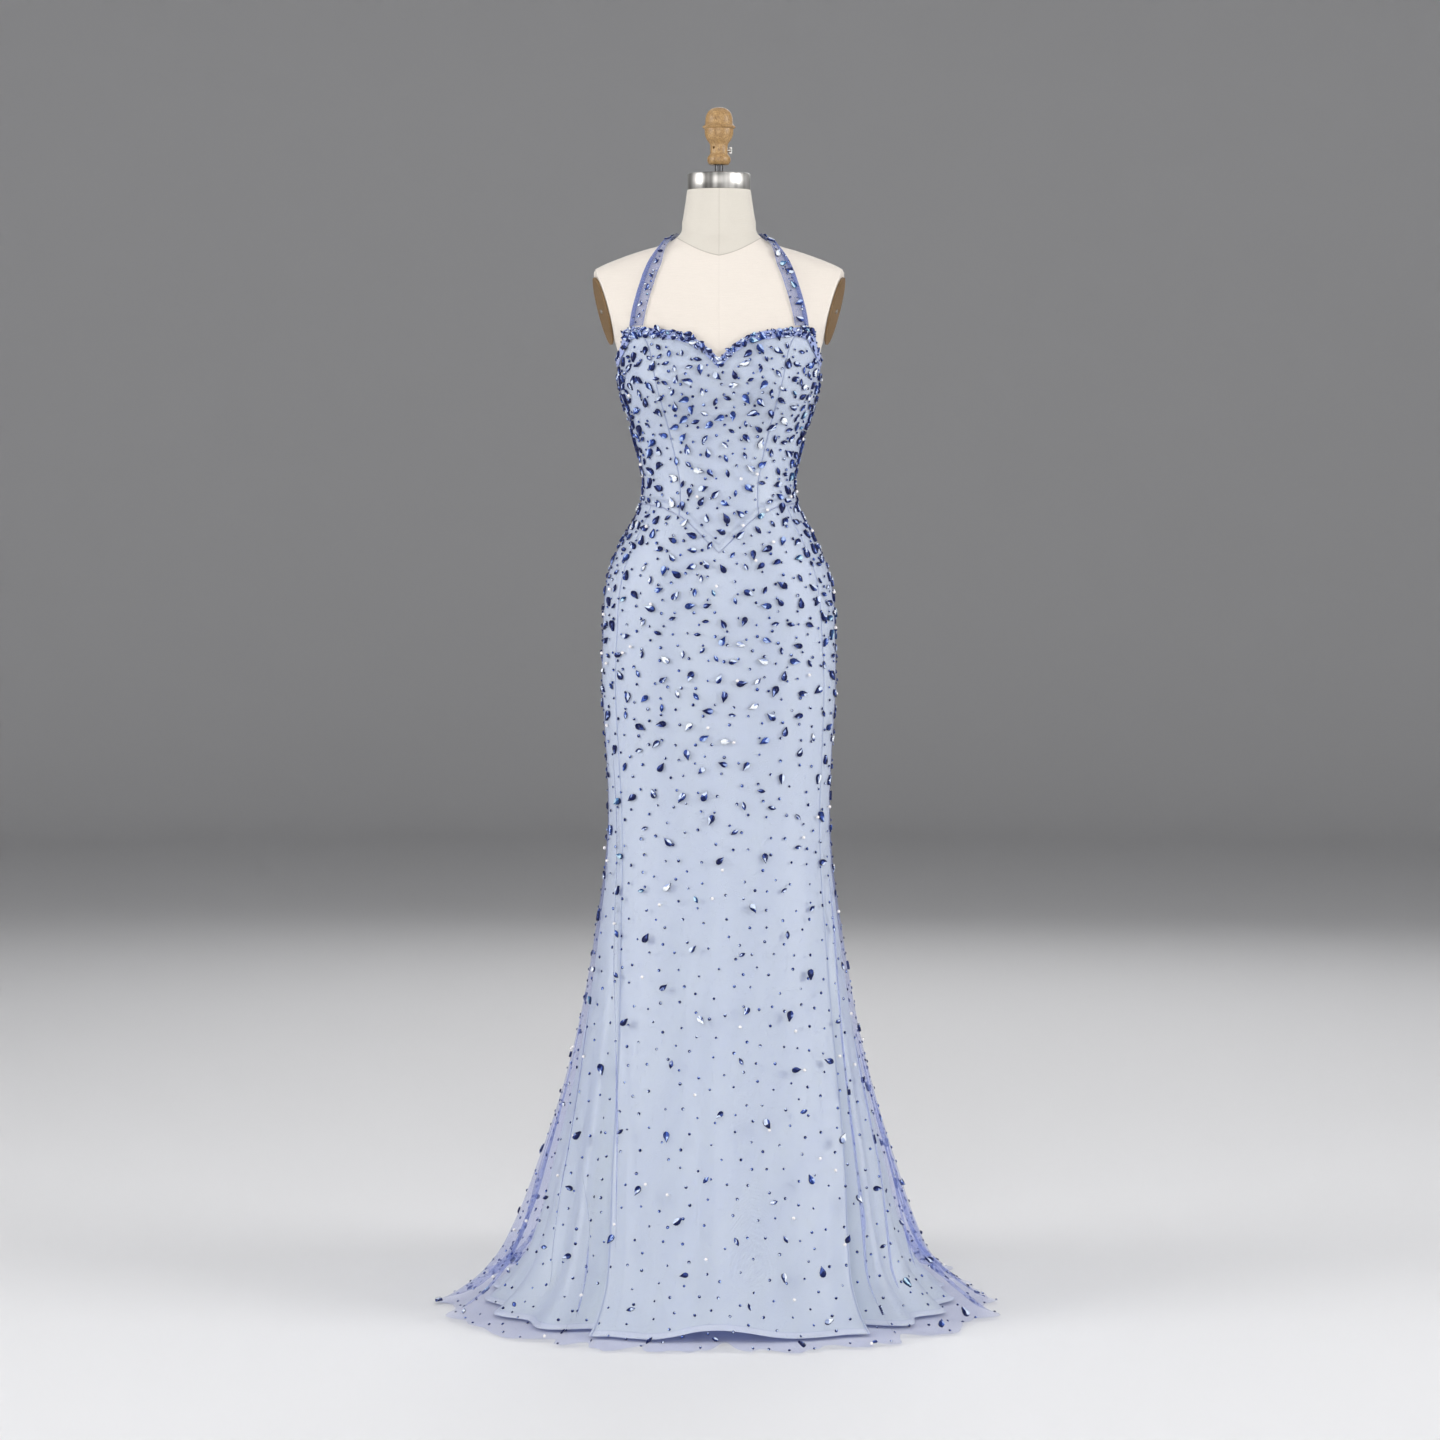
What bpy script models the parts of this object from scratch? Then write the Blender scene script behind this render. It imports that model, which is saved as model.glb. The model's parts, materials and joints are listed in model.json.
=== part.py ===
"""Sheath evening dress on a limbless dress form.

Metres, +Z up. The front faces -Y and the origin is on the floor, at the stand's axis.
Left and right are the wearer's: left is +X.

The dress and the form are worked out on one grid of points round the body. Columns of
the grid run down the seam lines and folds, rows run round the body, and each wall is
made from its neighbour's points, moved out, so the layers never cross.
"""

import bmesh
import bpy
import numpy as np
from math import cos, pi, radians, sin
from mathutils import Matrix, Vector

# ---- Driving sizes -------------------------------------------------------------------

SEAM_GAP = 0.0003        # between pieces that are sewn or that touch
WAIST_GAP = 0.0010       # the same at the hollow of the waist, where outer faces close up
FORM_GAP = 0.0005        # between the dress form and the dress
SATIN_WALL = 0.0012
TULLE_WALL = 0.0010
LAYER_GAP = 0.0004       # between the satin and the tulle

FORM_FOOT = 0.800        # underside of the form's body
NECK_BASE = 1.584
NECK_TOP = 1.651
CAP_TOP = 1.675
FINIAL_FOOT = 1.6884
FINIAL_TOP = 1.7723

# The body under the dress, and below the knee the flared skirt itself.
# height, half width, depth to the front, depth to the back
BODY = np.array((
    (0.000, 0.3460, 0.312, 0.425),
    (0.020, 0.3220, 0.298, 0.412),
    (0.060, 0.2880, 0.277, 0.388),
    (0.120, 0.2640, 0.257, 0.354),
    (0.220, 0.2400, 0.227, 0.305),
    (0.340, 0.2120, 0.194, 0.250),
    (0.460, 0.1900, 0.164, 0.205),
    (0.570, 0.1750, 0.141, 0.168),
    (0.660, 0.1650, 0.124, 0.142),
    (0.750, 0.1620, 0.113, 0.125),
    (0.800, 0.1640, 0.110, 0.120),
    (0.860, 0.1675, 0.108, 0.121),
    (0.930, 0.1710, 0.106, 0.125),
    (0.990, 0.1700, 0.106, 0.126),
    (1.050, 0.1675, 0.108, 0.120),
    (1.080, 0.1630, 0.107, 0.113),
    (1.107, 0.1545, 0.105, 0.105),
    (1.136, 0.1410, 0.101, 0.096),
    (1.166, 0.1240, 0.095, 0.086),
    (1.195, 0.1125, 0.089, 0.078),
    (1.220, 0.1090, 0.086, 0.074),
    (1.254, 0.1145, 0.086, 0.075),
    (1.284, 0.1220, 0.088, 0.079),
    (1.313, 0.1305, 0.092, 0.084),
    (1.343, 0.1405, 0.096, 0.089),
    (1.372, 0.1465, 0.099, 0.093),
    (1.401, 0.1485, 0.099, 0.096),
    (1.431, 0.1560, 0.095, 0.097),
    (1.455, 0.1800, 0.088, 0.098),
    (1.480, 0.1960, 0.080, 0.096),
    (1.505, 0.2000, 0.071, 0.089),
    (1.525, 0.1940, 0.063, 0.078),
    (1.538, 0.1775, 0.058, 0.070),
    (1.549, 0.1520, 0.055, 0.064),
    (1.561, 0.1180, 0.053, 0.060),
    (1.572, 0.0800, 0.054, 0.059),
    (1.584, 0.0605, 0.056, 0.059),
))

BUST_X = 0.082           # from the centre to the fullest point
BUST_HEIGHT = 1.372
BUST_OUT = 0.030
BUST_WIDTH = 0.062
BUST_RISE = 0.042        # how soon it falls away above the fullest point
BUST_FALL = 0.052        # and below it
BUST_FADE = 2.5          # it fades out to the sides where this times the facing is under 1

# The flat side that is left where an arm would be: x of its plane at a height and depth.
ARM_HEIGHT = 1.4745
ARM_PLANE_X = 0.1687
ARM_LEAN = 0.265         # x gained for each metre up
ARM_TURN = 0.160         # x gained for each metre back
ARM_FOOT = 1.397

# Seam and fold lines as angles in degrees from the centre front, at each height.
# height, princess seam, fold's ridge, fold's valley, side, back princess line
LEFT_LINES = np.array((
    (0.00, 20.0, 37.0, 42.5, 90.0, 135.0),
    (0.38, 24.0, 55.0, 60.0, 90.0, 135.0),
    (0.75, 27.0, 66.0, 71.0, 92.0, 136.0),
    (1.16, 28.0, 60.0, 66.0, 90.0, 135.0),
    (1.25, 33.0, 60.0, 66.0, 90.0, 135.0),
    (1.37, 39.0, 62.0, 68.0, 90.0, 135.0),
    (1.46, 46.0, 66.0, 71.0, 90.0, 135.0),
))
RIGHT_LINES = np.array((
    (0.00, 18.0, 31.0, 35.5, 90.0, 135.0),
    (0.38, 23.0, 45.0, 49.5, 88.0, 135.0),
    (0.75, 27.0, 62.0, 66.5, 92.0, 136.0),
    (1.16, 28.0, 60.0, 66.0, 90.0, 135.0),
    (1.25, 33.0, 60.0, 66.0, 90.0, 135.0),
    (1.37, 39.0, 62.0, 68.0, 90.0, 135.0),
    (1.46, 46.0, 66.0, 71.0, 90.0, 135.0),
))

# Columns of the grid that run down those lines, counted from the centre front.
PRINCESS = 4
RIDGE = 7
VALLEY = 8
SIDE = 13
BACK_PRINCESS = 19
CENTRE_BACK = 25
LINE_COLUMNS = (0, PRINCESS, RIDGE, VALLEY, SIDE, BACK_PRINCESS, CENTRE_BACK)

# Top edge of the dress and its waist seam. Angle from the centre front, height
NECKLINE = np.array((
    (0.0, 1.3995), (4.0, 1.409), (9.5, 1.422), (17.0, 1.435), (25.0, 1.441),
    (46.0, 1.449), (57.0, 1.443), (63.0, 1.433), (70.0, 1.421), (79.0, 1.408),
    (90.0, 1.399), (115.0, 1.386), (145.0, 1.373), (180.0, 1.366),
))
WAIST_SEAM = np.array((
    (0.0, 1.119), (7.0, 1.134), (14.0, 1.149), (21.0, 1.162), (28.0, 1.172),
    (45.0, 1.185), (66.0, 1.190), (180.0, 1.190),
))
SEAM_SIDE_HEIGHT = 1.190

BODICE_ROWS = 7          # the first is as deep as the beaded band

# Rows of the skirt: height at the sides, how much of the waist seam's point they keep
SKIRT_ROWS = (
    (1.125, 0.60), (1.060, 0.20), (0.990, 0.0), (0.900, 0.0), (FORM_FOOT, 0.0),
    (0.700, 0.0), (0.590, 0.0), (0.470, 0.0), (0.350, 0.0), (0.240, 0.0),
    (0.140, 0.0), (0.070, 0.0), (0.025, 0.0), (0.004, 0.0),
)
FORM_FOOT_ROW = BODICE_ROWS + 5

# Rows of the form above the dress: height, how much of the neckline's shape they keep
SHOULDER_ROWS = (
    (NECK_BASE, 0.0), (1.571, 0.0), (1.559, 0.0), (1.547, 0.0), (1.534, 0.02),
    (1.514, 0.08), (1.488, 0.25),
)
NECKLINE_TOP = 1.449

# Folds of the flared satin. Each runs down one column: out at the hem on the wearer's
# left and right (a ridge is positive, a valley negative), and the height it starts at.
FOLDS = (
    (RIDGE, 0.012, 0.010, 0.62),
    (VALLEY, -0.052, -0.036, 0.66),
    (9, 0.010, 0.012, 0.55),
    (10, -0.016, -0.012, 0.42),
    (11, 0.010, 0.012, 0.50),
    (12, -0.014, -0.016, 0.40),
    (SIDE, 0.010, 0.008, 0.45),
    (14, -0.018, -0.016, 0.45),
    (15, 0.012, 0.014, 0.50),
    (16, -0.018, -0.022, 0.48),
    (17, 0.014, 0.014, 0.50),
    (18, -0.020, -0.018, 0.46),
    (BACK_PRINCESS, 0.016, 0.016, 0.55),
    (20, -0.024, -0.022, 0.50),
    (21, 0.016, 0.018, 0.50),
    (22, -0.024, -0.026, 0.48),
    (23, 0.018, 0.018, 0.52),
    (24, -0.028, -0.028, 0.55),
    (CENTRE_BACK, 0.016, 0.016, 0.60),
)
FOLD_GROWTH = 1.4        # 1 is a fold that deepens evenly on its way down

# How far the tulle stands out from the satin.
# height, at the left side, the right side, the front and the back
TULLE_SPREAD = np.array((
    (0.000, 0.0800, 0.0800, 0.0780, 0.1200),
    (0.025, 0.0600, 0.0580, 0.0610, 0.0950),
    (0.070, 0.0390, 0.0470, 0.0440, 0.0740),
    (0.140, 0.0290, 0.0370, 0.0370, 0.0560),
    (0.240, 0.0180, 0.0240, 0.0240, 0.0360),
    (0.350, 0.0120, 0.0155, 0.0160, 0.0240),
    (0.470, 0.0080, 0.0095, 0.0100, 0.0130),
    (0.590, 0.0040, 0.0050, 0.0050, 0.0060),
    (0.700, 0.0010, 0.0010, 0.0010, 0.0010),
    (0.800, 0.0000, 0.0000, 0.0000, 0.0000),
))
DRAWN_IN_AT = 108.0      # behind each side, degrees from the front, it spreads less
DRAWN_IN_OVER = 24.0
DRAWN_IN_BY = 0.40
TULLE_BRIDGES = 0.55     # share of each satin valley that the tulle spans
RIPPLE_OUT = 0.005       # every second column of the tulle's hem
RIPPLE_LIFT = 0.006

HEM_RISE = 0.014         # the satin hem lifts a little at the centre front
HEM_RISE_COLUMNS = 4

BAND_WIDTH = 0.014       # height of the beaded band along the neckline
BAND_THICK = 0.0024
BAND_COLUMNS = 11

# Halter strap, from the neckline round the back of the neck: its centre, and the way
# from there to its outer edge, which is the lower one behind the neck.
STRAP_THICK = 0.0016
STRAP_STAND = 0.0016     # off the form's shoulder
STRAP_FOOT = 0.0006      # above the neckline's peak, where it is sewn in
STRAP_FRONT = np.array((
    # x, height, half width across, half width up
    (0.1205, 1.4530, 0.0100, 0.0010),
    (0.1170, 1.4700, 0.0100, 0.0015),
    (0.1120, 1.4900, 0.0098, 0.0020),
    (0.1060, 1.5100, 0.0096, 0.0025),
    (0.1000, 1.5280, 0.0092, 0.0030),
    (0.0930, 1.5440, 0.0085, 0.0035),
))
STRAP_BACK = np.array((
    # x, y, height, then to the outer or lower edge: across, back, up
    (0.0845, -0.0398, 1.5618, 0.0045, 0.0070, 0.0035),
    (0.0768, -0.0240, 1.5748, 0.0030, 0.0100, 0.0025),
    (0.0678, 0.0045, 1.5826, 0.0040, 0.0078, -0.0040),
    (0.0645, 0.0205, 1.5818, 0.0048, 0.0066, -0.0060),
    (0.0590, 0.0350, 1.5805, 0.0048, 0.0050, -0.0080),
    (0.0415, 0.0500, 1.5815, 0.0015, 0.0028, -0.0085),
    (0.0218, 0.0592, 1.5820, 0.0008, 0.0013, -0.0090),
    (0.00015, 0.0620, 1.5825, 0.0, 0.0010, -0.0095),
))

ZIP_FOOT = 1.338         # lower end of the slider
SLIDER_SIZE = (0.0056, 0.0022, 0.0090)   # across, out, up
LOOP_RADIUS = 0.0015
LOOP_WIRE = 0.0005
LOOP_OUT = SLIDER_SIZE[1] + 0.0009       # the loop's centre, out from the slider's foot
LOOP_UP = SLIDER_SIZE[2] - 0.0030        # and up from it
PULL_THICK = 0.0008
PULL_LENGTH = 0.022
PULL_TOP_WIDTH = 0.0050
PULL_FOOT_WIDTH = 0.0034
PULL_SLOT = 0.0030
PULL_SLOT_WIDTH = 0.0022

ROD_RADIUS = 0.0060
ROD_BORE = 0.0066
ROD_IN_FINIAL = 0.040
BORE_END_GAP = 0.001
CAP_RADIUS = 0.0462
POLE_RADIUS = 0.0140
FLANGE_RADIUS = 0.0450
SOCKET_RADIUS = 0.0200
BASE_RADIUS = 0.180
BASE_RIM = 0.012
BASE_TOP = 0.030
BOSS_RADIUS = 0.026
BOSS_TOP = 0.060

SCREW_HEIGHT = 1.7095
SCREW_RADIUS = 0.0022
SCREW_BORE = 0.0026
FINIAL_NECK = 0.0128
HUB_START = FINIAL_NECK + 0.0012
HUB_RADIUS = 0.0030
HUB_DEPTH = 0.0036
SHANK_START = ROD_BORE + 0.0012
SHANK_END = HUB_START + 0.0040
WING_SIZE = (0.0044, 0.0014, 0.0105)
HOLE_DEPTH = 0.012
SIDE_HOLE_ANGLE = radians(-37)   # from the front, to the wearer's right
SIDE_HOLE_RADIUS = 0.0019
SIDE_HOLE_UP = 0.0035            # above the screw

PLATE_RADII = (0.046, 0.051)     # of the oval armhole board: front to back, up
PLATE_THICK = 0.0036
PLATE_CENTRE_Y = 0.004


# ---- Scene ---------------------------------------------------------------------------

for old in list(bpy.data.objects):
    bpy.data.objects.remove(old, do_unlink=True)


def collection(name):
    made = bpy.data.collections.new(name)
    bpy.context.scene.collection.children.link(made)
    return made


DRESS = collection("evening_dress")
CUTTERS = collection("cutters")


def material(name, colour, roughness, metallic=0.0):
    made = bpy.data.materials.new(name)
    made.use_nodes = True
    shader = made.node_tree.nodes["Principled BSDF"]
    shader.inputs["Base Color"].default_value = (*colour, 1.0)
    shader.inputs["Roughness"].default_value = roughness
    shader.inputs["Metallic"].default_value = metallic
    made.diffuse_color = (*colour, 1.0)
    return made


SATIN = material("ice_blue_satin", (0.53, 0.59, 0.71), 0.45)
TULLE = material("periwinkle_tulle", (0.17, 0.24, 0.60), 0.80)
CRYSTAL = material("sapphire_beading", (0.05, 0.08, 0.30), 0.15)
LINEN = material("cream_linen", (0.86, 0.80, 0.74), 0.85)
STEEL = material("brushed_steel", (0.55, 0.54, 0.53), 0.30, 1.0)
DARK_STEEL = material("dark_steel", (0.06, 0.06, 0.065), 0.40, 1.0)
WOOD = material("turned_wood", (0.50, 0.33, 0.15), 0.50)
PLATE_BROWN = material("brown_board", (0.15, 0.08, 0.04), 0.60)
BASE_PAINT = material("black_enamel", (0.02, 0.02, 0.022), 0.40)


def finish(name, mesh, surface, smooth=True):
    """A named object with its material, from a bmesh."""
    data = bpy.data.meshes.new(name)
    mesh.to_mesh(data)
    mesh.free()
    data.materials.append(surface)
    if smooth:
        data.shade_smooth()
        data.set_sharp_from_angle(angle=radians(40))
    made = bpy.data.objects.new(name, data)
    DRESS.objects.link(made)
    return made


# ---- The body's points ---------------------------------------------------------------


def read_row(table, key):
    """The table's row at a key in its first column, on a smooth curve through the rows."""
    keys = table[:, 0]
    key = min(max(key, keys[0]), keys[-1])
    slopes = np.gradient(table, keys, axis=0)
    i = min(max(int(np.searchsorted(keys, key)) - 1, 0), len(keys) - 2)
    step = keys[i + 1] - keys[i]
    s = (key - keys[i]) / step
    return (
        table[i] * (1 + 2 * s) * (1 - s) ** 2
        + table[i + 1] * s * s * (3 - 2 * s)
        + slopes[i] * step * s * (1 - s) ** 2
        - slopes[i + 1] * step * s * s * (1 - s)
    )[1:]


def bust(x, height):
    """How far the bust stands out in front of the body's plain section."""
    fall = BUST_RISE if height > BUST_HEIGHT else BUST_FALL
    across = sum(np.exp(-(((x - side * BUST_X) / BUST_WIDTH) ** 2)) for side in (-1, 1))
    return BUST_OUT * across * np.exp(-(((height - BUST_HEIGHT) / fall) ** 2))


def arm_plane(height, y):
    return ARM_PLANE_X + ARM_LEAN * (height - ARM_HEIGHT) + ARM_TURN * y


def body_point(height, angle):
    """Point on the body at a height and an angle from the centre front, in degrees."""
    half_width, front, back = read_row(BODY, height)
    x = half_width * sin(radians(angle))
    facing = cos(radians(angle))
    y = -facing * (front if facing > 0 else back)
    if facing > 0:
        y -= bust(x, height) * min(1.0, BUST_FADE * facing)
    if height > ARM_FOOT:
        limit = arm_plane(height, y)
        x = min(max(x, -limit), limit)
    return np.array((x, y, height))


def column_angle(column, height):
    """Angle of a column of points at a height. Columns of the right side are negative."""
    side = 1 if column >= 0 else -1
    lines = read_row(LEFT_LINES if side > 0 else RIGHT_LINES, height)
    angles = (0.0, *lines, 180.0)
    return side * float(np.interp(abs(column), LINE_COLUMNS, angles))


def edge_height(edge, column, height):
    """Height of the neckline or waist seam on a column that crosses it near a height."""
    return float(np.interp(abs(column_angle(column, height)), edge[:, 0], edge[:, 1]))


COLUMNS = range(-CENTRE_BACK, CENTRE_BACK)


def column_heights(column):
    """Heights down one column: the form's shoulder, then the dress to its hem."""
    top = edge_height(NECKLINE, column, NECKLINE_TOP)
    waist = edge_height(WAIST_SEAM, column, SEAM_SIDE_HEIGHT)
    shoulder = [z + (top - NECKLINE_TOP) * kept for z, kept in SHOULDER_ROWS]
    below = top - BAND_WIDTH
    bodice = [top] + [below + (waist - below) * row / (BODICE_ROWS - 1)
                      for row in range(BODICE_ROWS)]
    skirt = [z + (waist - SEAM_SIDE_HEIGHT) * kept for z, kept in SKIRT_ROWS]
    middle = max(0.0, 1 - abs(column) / HEM_RISE_COLUMNS)
    skirt[-1] += HEM_RISE * middle * middle * (3 - 2 * middle)
    return shoulder + bodice + skirt


TOP_ROW = len(SHOULDER_ROWS)             # the row of the neckline
WAIST_ROW = TOP_ROW + BODICE_ROWS
FOOT_ROW = TOP_ROW + FORM_FOOT_ROW       # the row where the form's body ends

HEIGHTS = np.array([column_heights(column) for column in COLUMNS]).T
ANGLES = np.array([
    [column_angle(column, height) for column, height in zip(COLUMNS, row)]
    for row in HEIGHTS
])


def fold_out(column, height):
    """How far a fold pushes its column out of the smooth skirt, or in if negative."""
    for number, left, right, start in FOLDS:
        if number == abs(column) and height < start:
            return (left if column > 0 else right) * ((start - height) / start) ** FOLD_GROWTH
    return 0.0


FOLD_OUT = np.array([
    [fold_out(column, height) for column, height in zip(COLUMNS, row)]
    for row in HEIGHTS
])
OUTWARD = np.stack((np.sin(np.radians(ANGLES)), -np.cos(np.radians(ANGLES)),
                    np.zeros(ANGLES.shape)), axis=2)
POINTS = np.array([
    [body_point(height, angle) for height, angle in zip(*row)]
    for row in zip(HEIGHTS, ANGLES)
]) + OUTWARD * FOLD_OUT[:, :, None]


def directions(points):
    """Outward direction at each point of a grid that closes on itself."""
    round_body = np.roll(points, -1, axis=1) - np.roll(points, 1, axis=1)
    up = -np.gradient(points, axis=0)
    across = np.cross(round_body, up)
    return across / np.linalg.norm(across, axis=2, keepdims=True)


def normals(points):
    """Outward directions, taken for the dress alone from its neckline down."""
    return np.concatenate((directions(points)[:TOP_ROW], directions(points[TOP_ROW:])))


NORMALS = normals(POINTS)


def tulle_points():
    """Inner face of the tulle: the satin's points, moved out."""
    points = POINTS + NORMALS * (SATIN_WALL + LAYER_GAP)
    spreads = np.array([[read_row(TULLE_SPREAD, z) for z in row] for row in HEIGHTS])
    facing = np.cos(np.radians(ANGLES))
    sides = np.where(ANGLES > 0, spreads[:, :, 0], spreads[:, :, 1])
    ends = np.where(facing > 0, spreads[:, :, 2], spreads[:, :, 3])
    spread = sides + (ends - sides) * facing ** 2
    behind = (np.abs(ANGLES) - DRAWN_IN_AT) / DRAWN_IN_OVER
    spread *= 1 - DRAWN_IN_BY * np.exp(-behind ** 2)
    spread += np.maximum(0, -FOLD_OUT) * TULLE_BRIDGES
    odd = np.array([column % 2 for column in COLUMNS])
    points = points + OUTWARD * spread[:, :, None]
    points[-1] += OUTWARD[-1] * (RIPPLE_OUT * odd)[:, None]
    points[-1, :, 2] = RIPPLE_LIFT * (1 - odd)
    return points


TULLE_POINTS = tulle_points()
TULLE_NORMALS = normals(TULLE_POINTS)


# ---- Walls ---------------------------------------------------------------------------


def part_of(points, rows, columns):
    """Some rows and columns of a grid. Column numbers may run past the centre back."""
    count = points.shape[1]
    picked = [(column + CENTRE_BACK) % count for column in range(columns[0], columns[1] + 1)]
    return points[rows[0]:rows[1] + 1][:, picked].copy()


def drawn_in(points, waist=None):
    """The grid with its two side edges, and its waist edge, moved in by half a gap."""
    def move(edge, inner, gap):
        way = inner - edge
        edge += way * gap / 2 / np.linalg.norm(way, axis=1, keepdims=True)

    if waist == "foot":
        move(points[-1], points[-2], WAIST_GAP)
    if waist == "top":
        move(points[0], points[1], WAIST_GAP)
    move(points[:, 0], points[:, 1], SEAM_GAP)
    move(points[:, -1], points[:, -2], SEAM_GAP)
    return points


def sheet_mesh(points):
    """A grid of faces on the points. Rows run down and columns to the wearer's left."""
    rows, columns = points.shape[:2]
    mesh = bmesh.new()
    bmesh.ops.create_grid(mesh, x_segments=columns - 1, y_segments=rows - 1, size=0.5)
    for vertex in mesh.verts:
        column = round((vertex.co.x + 0.5) * (columns - 1))
        row = round((0.5 - vertex.co.y) * (rows - 1))
        vertex.co = points[row, column]
    return mesh


def wall(name, points, thickness, surface):
    """A cloth wall that stands out from a grid of points."""
    made = finish(name, sheet_mesh(points), surface)
    solid = made.modifiers.new("wall", "SOLIDIFY")
    solid.thickness = thickness
    solid.offset = 1.0
    solid.use_even_offset = True
    solid.use_rim = True
    return made


LAST_ROW = len(HEIGHTS) - 1
BODICE = (TOP_ROW, WAIST_ROW)
SKIRT = (WAIST_ROW, LAST_ROW)

# ---- Satin bodice and skirt ----------------------------------------------------------


def bodice(name, columns):
    points = drawn_in(part_of(POINTS, BODICE, columns), waist="foot")
    return wall("satin_bodice_" + name, points, SATIN_WALL, SATIN)


def skirt(name, columns):
    points = drawn_in(part_of(POINTS, SKIRT, columns), waist="top")
    return wall("satin_skirt_" + name, points, SATIN_WALL, SATIN)


bodice("front", (-PRINCESS, PRINCESS))
bodice("side_left", (PRINCESS, SIDE))
bodice("side_right", (-SIDE, -PRINCESS))
bodice("back_left", (SIDE, CENTRE_BACK))
bodice("back_right", (-CENTRE_BACK, -SIDE))

skirt("front", (-RIDGE, RIDGE))
skirt("side_left", (RIDGE, BACK_PRINCESS))
skirt("side_right", (-BACK_PRINCESS, -RIDGE))
skirt("back_left", (BACK_PRINCESS, CENTRE_BACK))
skirt("back_right", (-CENTRE_BACK, -BACK_PRINCESS))

# ---- Tulle overlay -------------------------------------------------------------------


def tulle(name, columns):
    points = drawn_in(part_of(TULLE_POINTS, (TOP_ROW, LAST_ROW), columns))
    return wall(name, points, TULLE_WALL, TULLE)


tulle("tulle_front", (-SIDE, SIDE))
tulle("tulle_back_left", (SIDE, CENTRE_BACK))
tulle("tulle_back_right", (-CENTRE_BACK, -SIDE))

# ---- Beaded band along the neckline --------------------------------------------------


def neckline_band():
    """Raised band of close-set stones, on the tulle's outer face below the neckline."""
    out = TULLE_WALL + LAYER_GAP
    rows = part_of(TULLE_POINTS + TULLE_NORMALS * out, (TOP_ROW, TOP_ROW + 1),
                   (-BAND_COLUMNS, BAND_COLUMNS))
    return wall("neckline_band", rows, BAND_THICK, CRYSTAL)


neckline_band()

# ---- Halter strap --------------------------------------------------------------------


def front_y(x, height):
    """Depth of the body's front surface at a place across it."""
    half_width, front, _ = read_row(BODY, height)
    return -front * np.sqrt(1 - min(x / half_width, 0.999) ** 2) - bust(x, height)


def strap_rows():
    """Outer edge, middle and inner edge of the left strap, from the neckline to the nape."""
    rows = []
    for number, (x, height, across, up) in enumerate(STRAP_FRONT):
        row = []
        for part in (-1, 0, 1):
            at_x = x + across * part
            at_height = height + up * part
            if number == 0:
                at_height = NECKLINE_TOP + STRAP_FOOT
            row.append((at_x, front_y(at_x, at_height) - STRAP_STAND, at_height))
        rows.append(row)
    for x, y, height, across, back, up in STRAP_BACK:
        rows.append([(x + across * part, y + back * part, height + up * part)
                     for part in (-1, 0, 1)])
    return np.array(rows)


def strap(name, points):
    return wall(name, points, STRAP_THICK, TULLE)


LEFT_STRAP = strap_rows()
strap("strap_left", LEFT_STRAP[::-1])
strap("strap_right", (LEFT_STRAP * (-1, 1, 1))[::-1, ::-1])

# ---- Dress form ----------------------------------------------------------------------


def form_body():
    """The form's body, from its foot to the base of the neck, closed at both ends."""
    rows = POINTS[:FOOT_ROW + 1] - NORMALS[:FOOT_ROW + 1] * FORM_GAP
    rows[0, :, 2] = HEIGHTS[0]
    rows[FOOT_ROW, :, 2] = HEIGHTS[FOOT_ROW]
    closed = np.concatenate((rows, rows[:, :1]), axis=1)
    mesh = sheet_mesh(closed)
    bmesh.ops.remove_doubles(mesh, verts=mesh.verts, dist=1e-6)
    bmesh.ops.holes_fill(mesh, edges=[edge for edge in mesh.edges if edge.is_boundary])
    bmesh.ops.recalc_face_normals(mesh, faces=mesh.faces)
    return finish("form_body", mesh, LINEN)


form_body()


def turned(name, profile, surface, segments=32, at=(0.0, 0.0, 0.0), smooth=True):
    """A turned piece. The profile is radius and height, down its outer side."""
    mesh = bmesh.new()
    verts = [mesh.verts.new((radius, 0.0, height)) for radius, height in profile]
    for first, second in zip(verts, verts[1:]):
        mesh.edges.new((first, second))
    made = finish(name, mesh, surface, smooth=False)
    made.location = at
    screw = made.modifiers.new("turning", "SCREW")
    screw.steps = segments
    screw.render_steps = segments
    screw.use_merge_vertices = True
    screw.merge_threshold = 0.00005
    screw.use_smooth_shade = smooth
    return made


turned("form_neck", (
    (0.0, NECK_TOP), (0.0468, NECK_TOP), (0.0500, 1.628), (0.0540, 1.605),
    (0.0590, NECK_BASE + SEAM_GAP), (0.0, NECK_BASE + SEAM_GAP),
), LINEN, segments=28)

CAP_FOOT = NECK_TOP + SEAM_GAP
turned("form_cap", (
    (ROD_BORE, CAP_TOP - 0.0015), (CAP_RADIUS - 0.0040, CAP_TOP - 0.0015),
    (CAP_RADIUS - 0.0030, CAP_TOP), (CAP_RADIUS - 0.0008, CAP_TOP),
    (CAP_RADIUS, CAP_TOP - 0.0008), (CAP_RADIUS, CAP_FOOT + 0.0006),
    (CAP_RADIUS - 0.0006, CAP_FOOT), (ROD_BORE, CAP_FOOT),
    (ROD_BORE, CAP_TOP - 0.0015),
), STEEL, segments=28)

ROD_TOP = FINIAL_FOOT + ROD_IN_FINIAL
turned("form_rod", (
    (0.0, ROD_TOP), (ROD_RADIUS - 0.0008, ROD_TOP), (ROD_RADIUS, ROD_TOP - 0.0008),
    (ROD_RADIUS, CAP_FOOT), (0.0, CAP_FOOT),
), DARK_STEEL, segments=16)


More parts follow.
